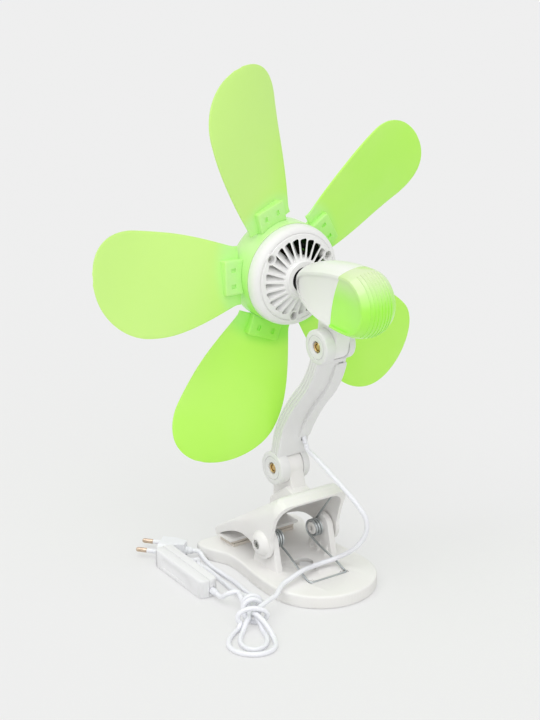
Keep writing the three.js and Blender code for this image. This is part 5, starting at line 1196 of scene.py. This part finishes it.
dressed(arm(), "curved_arm", "arm", SHADED_ARM_WHITE, "arm")
dressed(softened(prism(arm_band(ARM_HALF - COVER_SINK, cover_rise, COVER_LIP, COVER_TO), "X", FAR_OUTER - 0.05,
                       COVER_INNER), 0.45, 3, 60), "arm_channel_cover", "arm", SHADED_ARM_WHITE, "arm_wire_cover")
for name, knuckle in (("lower", LOWER_KNUCKLE), ("upper", UPPER_KNUCKLE)):
    dressed(knuckle_bolt(knuckle), f"{name}_pivot_bolt", "arm", BRASS, f"{name}_knuckle_bolt")
    dressed(knuckle_nut(knuckle), f"{name}_pivot_nut", "arm", BRASS, f"{name}_knuckle_nut")


# ---------------------------------------------------------------- pod

AT_POD = placed(0, POD_NOSE_Y - 1.2, ROTOR_Z, POD_RISE, "X")
POD_STEPS = 24


def egg_profile(inset):
    """Half an ellipsoid for the nose, half a ball for the tail; the outer one has a small flat nose."""
    reach, radius = POD_LENGTH - inset, POD_RADIUS - inset
    turns = [pi / 2 * k / POD_STEPS for k in range(POD_STEPS + 1)]
    points = [(radius * sin(a), POD_LENGTH - reach * cos(a)) for a in turns]
    points += [(radius * cos(a), POD_LENGTH + radius * sin(a)) for a in turns[1:-1]]
    points.append((0, POD_LENGTH + radius))
    if inset:
        return points
    flat = POD_LENGTH - reach * sqrt(1 - (POD_NOSE_RADIUS / radius) ** 2)
    return [(0, flat), (POD_NOSE_RADIUS, flat), *[p for p in points if p[1] > flat + 0.4]]


def pod_flank(side, inset):
    """What lies outside one flat flank of the pod."""
    x, nose, far = side * (POD_FACET_X - inset), side * (POD_FACET_NOSE - inset), side * 60
    return moved(prism([(far, -20), (nose * 0.6, -20), (nose, 4), *curve([(nose, 4), (x, 22), (x, 48)], 20),
                        (x, 130), (far, 130)], "Z", -60, 60), AT_POD)


def pod_egg(inset):
    return moved(turned(egg_profile(inset), "Y", steps=120), AT_POD)


def pod_body(inset):
    return cut(pod_egg(inset), pod_flank(1, inset), pod_flank(-1, inset))


def pod_shell():
    """The hollow pod, each flank a shallow panel inside a thin soft rim."""
    shell = softened(pod_body(0), 0.9, 4, 30)
    cut(shell, *[overlap(pod_egg(POD_RIM), pod_flank(side, POD_PANEL)) for side in (1, -1)])
    return cut(softened(shell, 0.26, 2, 60), pod_body(POD_WALL))


def behind_split(shift):
    """What lies behind the bowed line where the cap meets the front shell."""
    heights = range(205, 316, 5)
    line = [(SPLIT_Y + shift + SPLIT_LEAN * (z - SPLIT_Z) + SPLIT_BOW * (z - SPLIT_Z) ** 2, z) for z in heights]
    return prism([*line, (200, heights[-1]), (200, heights[0])], "X", -60, 60)


def pod_front():
    y, z = UPPER_KNUCKLE
    knuckle = (0, y, z)
    shell = cut(pod_shell(), behind_split(0))
    neck = softened(prism([(y + 15, z + 24), (y - 9, z + 24), *arc(UPPER_KNUCKLE, TONGUE_RADIUS, 165, 360, 48),
                           (y + 15, z + 12)], "X", FAR_INNER + GAP / 3, NEAR_INNER - GAP), 0.6, 3, 50)
    cut(neck, pod_body(POD_WALL))
    boss = rod(STEM_RADIUS + 3, "Y", POD_NOSE_Y + 2, POD_NOSE_Y + 24, (0, 0, ROTOR_Z))
    overlap(boss, pod_body(0))
    join(shell, neck, boss)
    return cut(shell, rod(STEM_RADIUS + GAP, "Y", POD_NOSE_Y - 10, POD_NOSE_Y + 20, (0, 0, ROTOR_Z)),
               rod(BOLT_RADIUS + GAP, "X", -20, 20, knuckle),
               rod(CHEEK_RADIUS + 1, "X", NEAR_INNER - GAP, 40, knuckle, 72),
               rod(CHEEK_RADIUS + 1, "X", -40, FAR_INNER + GAP, knuckle, 72))


def cap_rib(x):
    """One fine rib over the ball of the tail."""
    outer = sqrt((POD_RADIUS + CAP_RIB_HEIGHT) ** 2 - x * x)
    inner = sqrt((POD_RADIUS - POD_WALL / 2) ** 2 - x * x)
    rib = prism(arc((POD_LENGTH, 0), outer, *CAP_RIB_ENDS, 60) + arc((POD_LENGTH, 0), inner, *CAP_RIB_ENDS[::-1], 60),
                "X", x - CAP_RIB_WIDTH / 2, x + CAP_RIB_WIDTH / 2)
    return moved(softened(rib, 0.3, 2, 60), AT_POD)


def pod_cap():
    shell = overlap(pod_shell(), behind_split(GAP / 4))
    return join(shell, *[cap_rib((k - (CAP_RIBS - 1) / 2) * CAP_RIB_PITCH) for k in range(CAP_RIBS)])


dressed(pod_front(), "pod_nose_shell", "head", WHITE, "pod_front")
dressed(pod_cap(), "pod_tail_cap", "head", LIME, "pod_cap")


# ---------------------------------------------------------------- rotor

ROTOR = (0, 0, ROTOR_Z)


def hub_shell():
    outside = [(0, -13), *curve([(0, -13), (22, -12.6), (34, -6.6), (38.4, -1)], 20),
               *curve([(38.4, -1), (41.6, 3.2), (42, 10)], 10), (42, 27.1), (41.7, 27.5), (39.8, 27.5)]
    inside = [(39.8, 9.5), (37.2, 5.7), (31, 5.7), (31, 4), (25, -7), (14, -9.8), (12.1, -10), (12.1, 0), (9.8, 0),
              (9.8, -5.3), (6.5, -5.3), (6.5, -10.6), (0, -10.6)]
    return turned(outside + inside, "Y", ROTOR, 144)


def rear_cover():
    profile = [(41.4, 27.8), (41.4, 31.2), (41.2, 32.8), (40.6, 34.6), (39.6, 36), (38.3, 37), (36.9, 37.5),
               (36.3, 37.5), (36.1, 36.9), (35.5, 36.9), (35.35, 37.9), (35, 38.3), (34.6, 38.4), (31.6, 38.5),
               (31.2, 38.6), (18.8, 42.7), (16.2, 43.4), (15.4, 43.9), (15.05, 44.8), (15, 45.5), (14.6, 46),
               (10.4, 46), (10, 45.6), (10, 32.5), (12.4, 32.5), (12.4, 37.4), (31, 32.4), (37.4, 24.8),
               (39.5, 24.8), (39.5, 27.8)]
    cover = turned(profile, "Y", ROTOR, 144)
    middle = (SLOT_OUTER + SLOT_INNER) / 2
    inner, outer = [(2 * pi * r / SLOTS - FIN_WIDTH) / 2 for r in (SLOT_INNER, SLOT_OUTER)]
    low, high = SLOT_INNER - middle, SLOT_OUTER - middle
    slot = prism([(inner - 0.5, low), (inner, low + 0.6), (outer, high - 1.6), (outer - 0.4, high - 0.5),
                  (outer - 1.3, high), (1.3 - outer, high), (0.4 - outer, high - 0.5), (-outer, high - 1.6),
                  (-inner, low + 0.6), (0.5 - inner, low)], "Y", COVER_REAR_Y - 8, COVER_REAR_Y + 8)
    slant = Matrix(((1, VANE_SLANT, 0, -VANE_SLANT * (COVER_REAR_Y + 1) * MM),
                    (0, 1, 0, 0), (0, 0, 1, 0), (0, 0, 0, 1)))
    leaning = placed(0, 0, middle, SLOT_SWIRL, "Y") @ slant
    for k in range(SLOTS):
        cut(cover, moved(copied(slot), placed(*ROTOR, 360 * k / SLOTS + 4, "Y") @ leaning))
    bpy.data.objects.remove(slot)
    for place in [screw_place(angle) for angle in COVER_SCREW_ANGLES]:
        join(cover, rod(POST_RADIUS, "Y", COVER_REAR_Y - 7, COVER_REAR_Y, place))
        cut(cover, rod(WELL_RADIUS, "Y", COVER_REAR_Y - 4, COVER_REAR_Y + 3, place),
            rod(POST_BORE, "Y", COVER_REAR_Y - 20, COVER_REAR_Y, place, 24))
    return softened(cover, 0.2, 2, 60)


def screw_place(angle):
    turn = radians(angle)
    return -COVER_SCREW_RADIUS * cos(turn), 0, ROTOR_Z + COVER_SCREW_RADIUS * sin(turn)


def cover_screw(angle):
    x, _, z = screw_place(angle)
    screw = turned([(0, 27.1), (1, 27.1), (1, 34.5), (2.3, 34.5), (2.3, 35.3), (2.1, 35.7), (1.5, 36), (0.8, 36.1),
                    (0, 36.1)], "Y", (x, 0, z), 32)
    return cut(screw, *cross_slot("Y", 35.2, 38, x, z, 1.5, 0.25))


dressed(hub_shell(), "rotor_hub", "rotor", MINT, "hub_shell")
dressed(rear_cover(), "slotted_rear_cover", "rotor", WHITE, "rear_cover")
# Painted shade: a black ring deep in the collar's hole stands in for the shade inside it.
dressed(turned([(STEM_RADIUS + 0.6, 40), (10.2, 40), (10.2, 41.6), (9.6, 42), (STEM_RADIUS + 1, 42),
                (STEM_RADIUS + 0.6, 41.6)], "Y", ROTOR, 72), "collar_dust_washer", "rotor", FERRITE)
dressed(turned([(31, 6), (35.5, 6), (35.5, 23), (31, 23)], "Y", ROTOR, 96), "ferrite_ring", "rotor", FERRITE,
        "rotor_magnet")
for number, angle in enumerate(COVER_SCREW_ANGLES, 1):
    dressed(cover_screw(angle), f"rear_screw_{number}", "rotor", ZINC, f"cover_screw_{number}")


# ---------------------------------------------------------------- blades

BLADE_ACROSS, BLADE_ALONG = 28, 56      # faces of the sheet


def ease(t):
    return sin(pi / 2 * within(t))


def blade_half(r):
    """Half the blade's width at radius r."""
    widened = ease((r - BLADE_ROOT_R) / (BLADE_WIDE_R - BLADE_ROOT_R))
    body = BLADE_ROOT_HALF + (BLADE_MAX_HALF - BLADE_ROOT_HALF) * widened
    if r <= BLADE_WIDE_R:
        return body
    share = (r - BLADE_WIDE_R) / (BLADE_TIP - BLADE_WIDE_R)
    return BLADE_MAX_HALF * max(0.0, 1 - share * share) ** 0.46


def blade_place(u, r):
    """Where the sheet lies, u from -1 to 1 across it: twisted, raked, swept back and bowed a little."""
    share = min(1.0, (r - BLADE_ROOT_R) / (BLADE_TIP - BLADE_ROOT_R))
    past_wide = max(0.0, (r - BLADE_WIDE_R) / (BLADE_TIP - BLADE_WIDE_R))
    pitch = radians(BLADE_PITCH + PITCH_SWELL * sin(pi * share) - PITCH_TIP * past_wide)
    half = blade_half(r) if r > BLADE_ROOT_R else BLADE_ROOT_HALF
    width = u * half - BLADE_SWEEP * max(0.0, (r - BLADE_SWEEP_R) / (BLADE_TIP - BLADE_SWEEP_R)) ** 2
    camber = BLADE_CAMBER * (1 - u * u) * min(1.0, half / BLADE_MAX_HALF)
    forward = BLADE_PLANE_Y - BLADE_SET_BACK - BLADE_RAKE * share
    return at(width * cos(pitch), forward + width * sin(pitch) + camber, r)


def blade_radius(t):
    """Radii close together towards the round tip."""
    near, far = BLADE_ROOT_R - 4.5, BLADE_TIP - 0.15
    return near + (far - near) * sin(pi / 2 * t)


def blade():
    """A soft sheet with a block at its root, which bears on the hub and has two latch windows."""
    sheet = added(bpy.ops.mesh.primitive_grid_add, x_subdivisions=BLADE_ACROSS, y_subdivisions=BLADE_ALONG, size=2)
    for vertex in sheet.data.vertices:
        vertex.co = blade_place(vertex.co.x, blade_radius((vertex.co.y + 1) / 2))
    only(sheet)
    editing(True)
    bpy.ops.mesh.select_all(action="SELECT")
    bpy.ops.mesh.normals_make_consistent(inside=False)
    editing(False)
    softened(changed(sheet, "SOLIDIFY", thickness=0.9 * BLADE_THICK * MM, offset=0), 0.42, 2, 50)
    middle, lean = (BLOCK_INNER + BLOCK_OUTER) / 2, radians(BLOCK_LEAN)
    root = softened(block(-BLOCK_WIDTH / 2, BLOCK_WIDTH / 2, -6.5, 3.5, -11, 7), 1.3, 4)
    join(sheet, moved(root, placed(0, BLADE_PLANE_Y, middle, BLOCK_LEAN, "Z")))
    for x in (-WINDOW_X, WINDOW_X):
        window = softened(block(-1.7, 1.7, -1.6, 4, -2.2, 2.2), 0.4, 2)
        y = BLADE_PLANE_Y + BLOCK_DEPTH / 2 + x * sin(lean)
        cut(sheet, moved(window, placed(x * cos(lean), y, middle - 0.5, BLOCK_LEAN, "Z")))
    return cut(sheet, rod(HUB_RADIUS + GAP, "Y", -40, 60, (0, 0, 0), 144))


first_blade = blade()
for number in range(1, BLADES + 1):
    place = placed(*ROTOR, BLADE_PHASE + 360 / BLADES * (number - 1) - 90, "Y")
    dressed(moved(copied(first_blade), place), f"soft_blade_{number}", "rotor", BLADE, f"blade_{number}")
bpy.data.objects.remove(first_blade)


# ---------------------------------------------------------------- motor parts kept from the model

for node, (_, material) in (("motor_stem", ZINC), ("stator_core", LAMINATION), ("stator_winding", WINDING),
                            ("front_bearing", ZINC), ("rear_bearing", ZINC)):
    kept = bpy.data.objects[node]
    kept.data.materials.clear()
    kept.data.materials.append(material)


# ---------------------------------------------------------------- floor, world and light

PALE, PAPER, EVEN_SHARE = 0.863, 0.79, 0.5
FLOOR_SIZE, WORLD_LIGHT, SUN_WIDTH, SUN_AWAY = 16, 0.65, 60, 3


def add_floor():
    """Pale paper that keeps a soft shadow; part of what the camera sees of it is its own even tone."""
    floor = added(bpy.ops.mesh.primitive_plane_add, size=FLOOR_SIZE, location=(0, 0, 0))
    floor.name = "pale_floor"
    paper = Finish("pale_paper", (PAPER, PAPER, PAPER), 1, **{"Specular IOR Level": 0})
    share = paper.node("ShaderNodeLightPath", output="Is Camera Ray") * EVEN_SHARE
    tone = paper.node("ShaderNodeEmission", values={"Color": (PALE, PALE, PALE, 1)})
    mixed = paper.node("ShaderNodeMixShader", values=[share, Signal(paper, paper.shader.outputs[0]), tone])
    paper.put(paper.tree.nodes["Material Output"], {"Surface": mixed})
    floor.data.materials.append(paper.material)


def add_world():
    """Even light all round, while the camera and gloss see the pale paper colour."""
    world = bpy.data.worlds.new("studio")
    bpy.context.scene.world = world
    world.use_nodes = True
    world.node_tree.nodes.clear()
    graph = Graph(world.node_tree)
    camera, glossy, through = [graph.node("ShaderNodeLightPath", output=f"Is {ray} Ray")
                               for ray in ("Camera", "Glossy", "Transmission")]
    lit, seen = [graph.node("ShaderNodeBackground", values={"Color": color, "Strength": strength})
                 for color, strength in (((1, 1, 1, 1), WORLD_LIGHT), ((PALE, PALE, PALE, 1), 1))]
    mixed = graph.node("ShaderNodeMixShader",
                       values=[camera.math("MAXIMUM", glossy).math("MAXIMUM", through), lit, seen])
    graph.put(graph.tree.nodes.new("ShaderNodeOutputWorld"), {"Surface": mixed})


def add_sun(toward, energy):
    """A wide soft lamp that shines from the direction `toward`."""
    direction = Vector(toward).normalized()
    sun = added(bpy.ops.object.light_add, type="SUN", location=direction * SUN_AWAY,
                rotation=direction.to_track_quat("Z", "Y").to_euler()).data
    sun.energy, sun.angle = energy, radians(SUN_WIDTH)


add_floor()
add_world()
for toward, energy in (((0.8, 0.3, 2), 1.2), ((0.45, 1.1, 0.8), 0.5)):
    add_sun(toward, energy)
bpy.context.scene.view_settings.view_transform = "Standard"
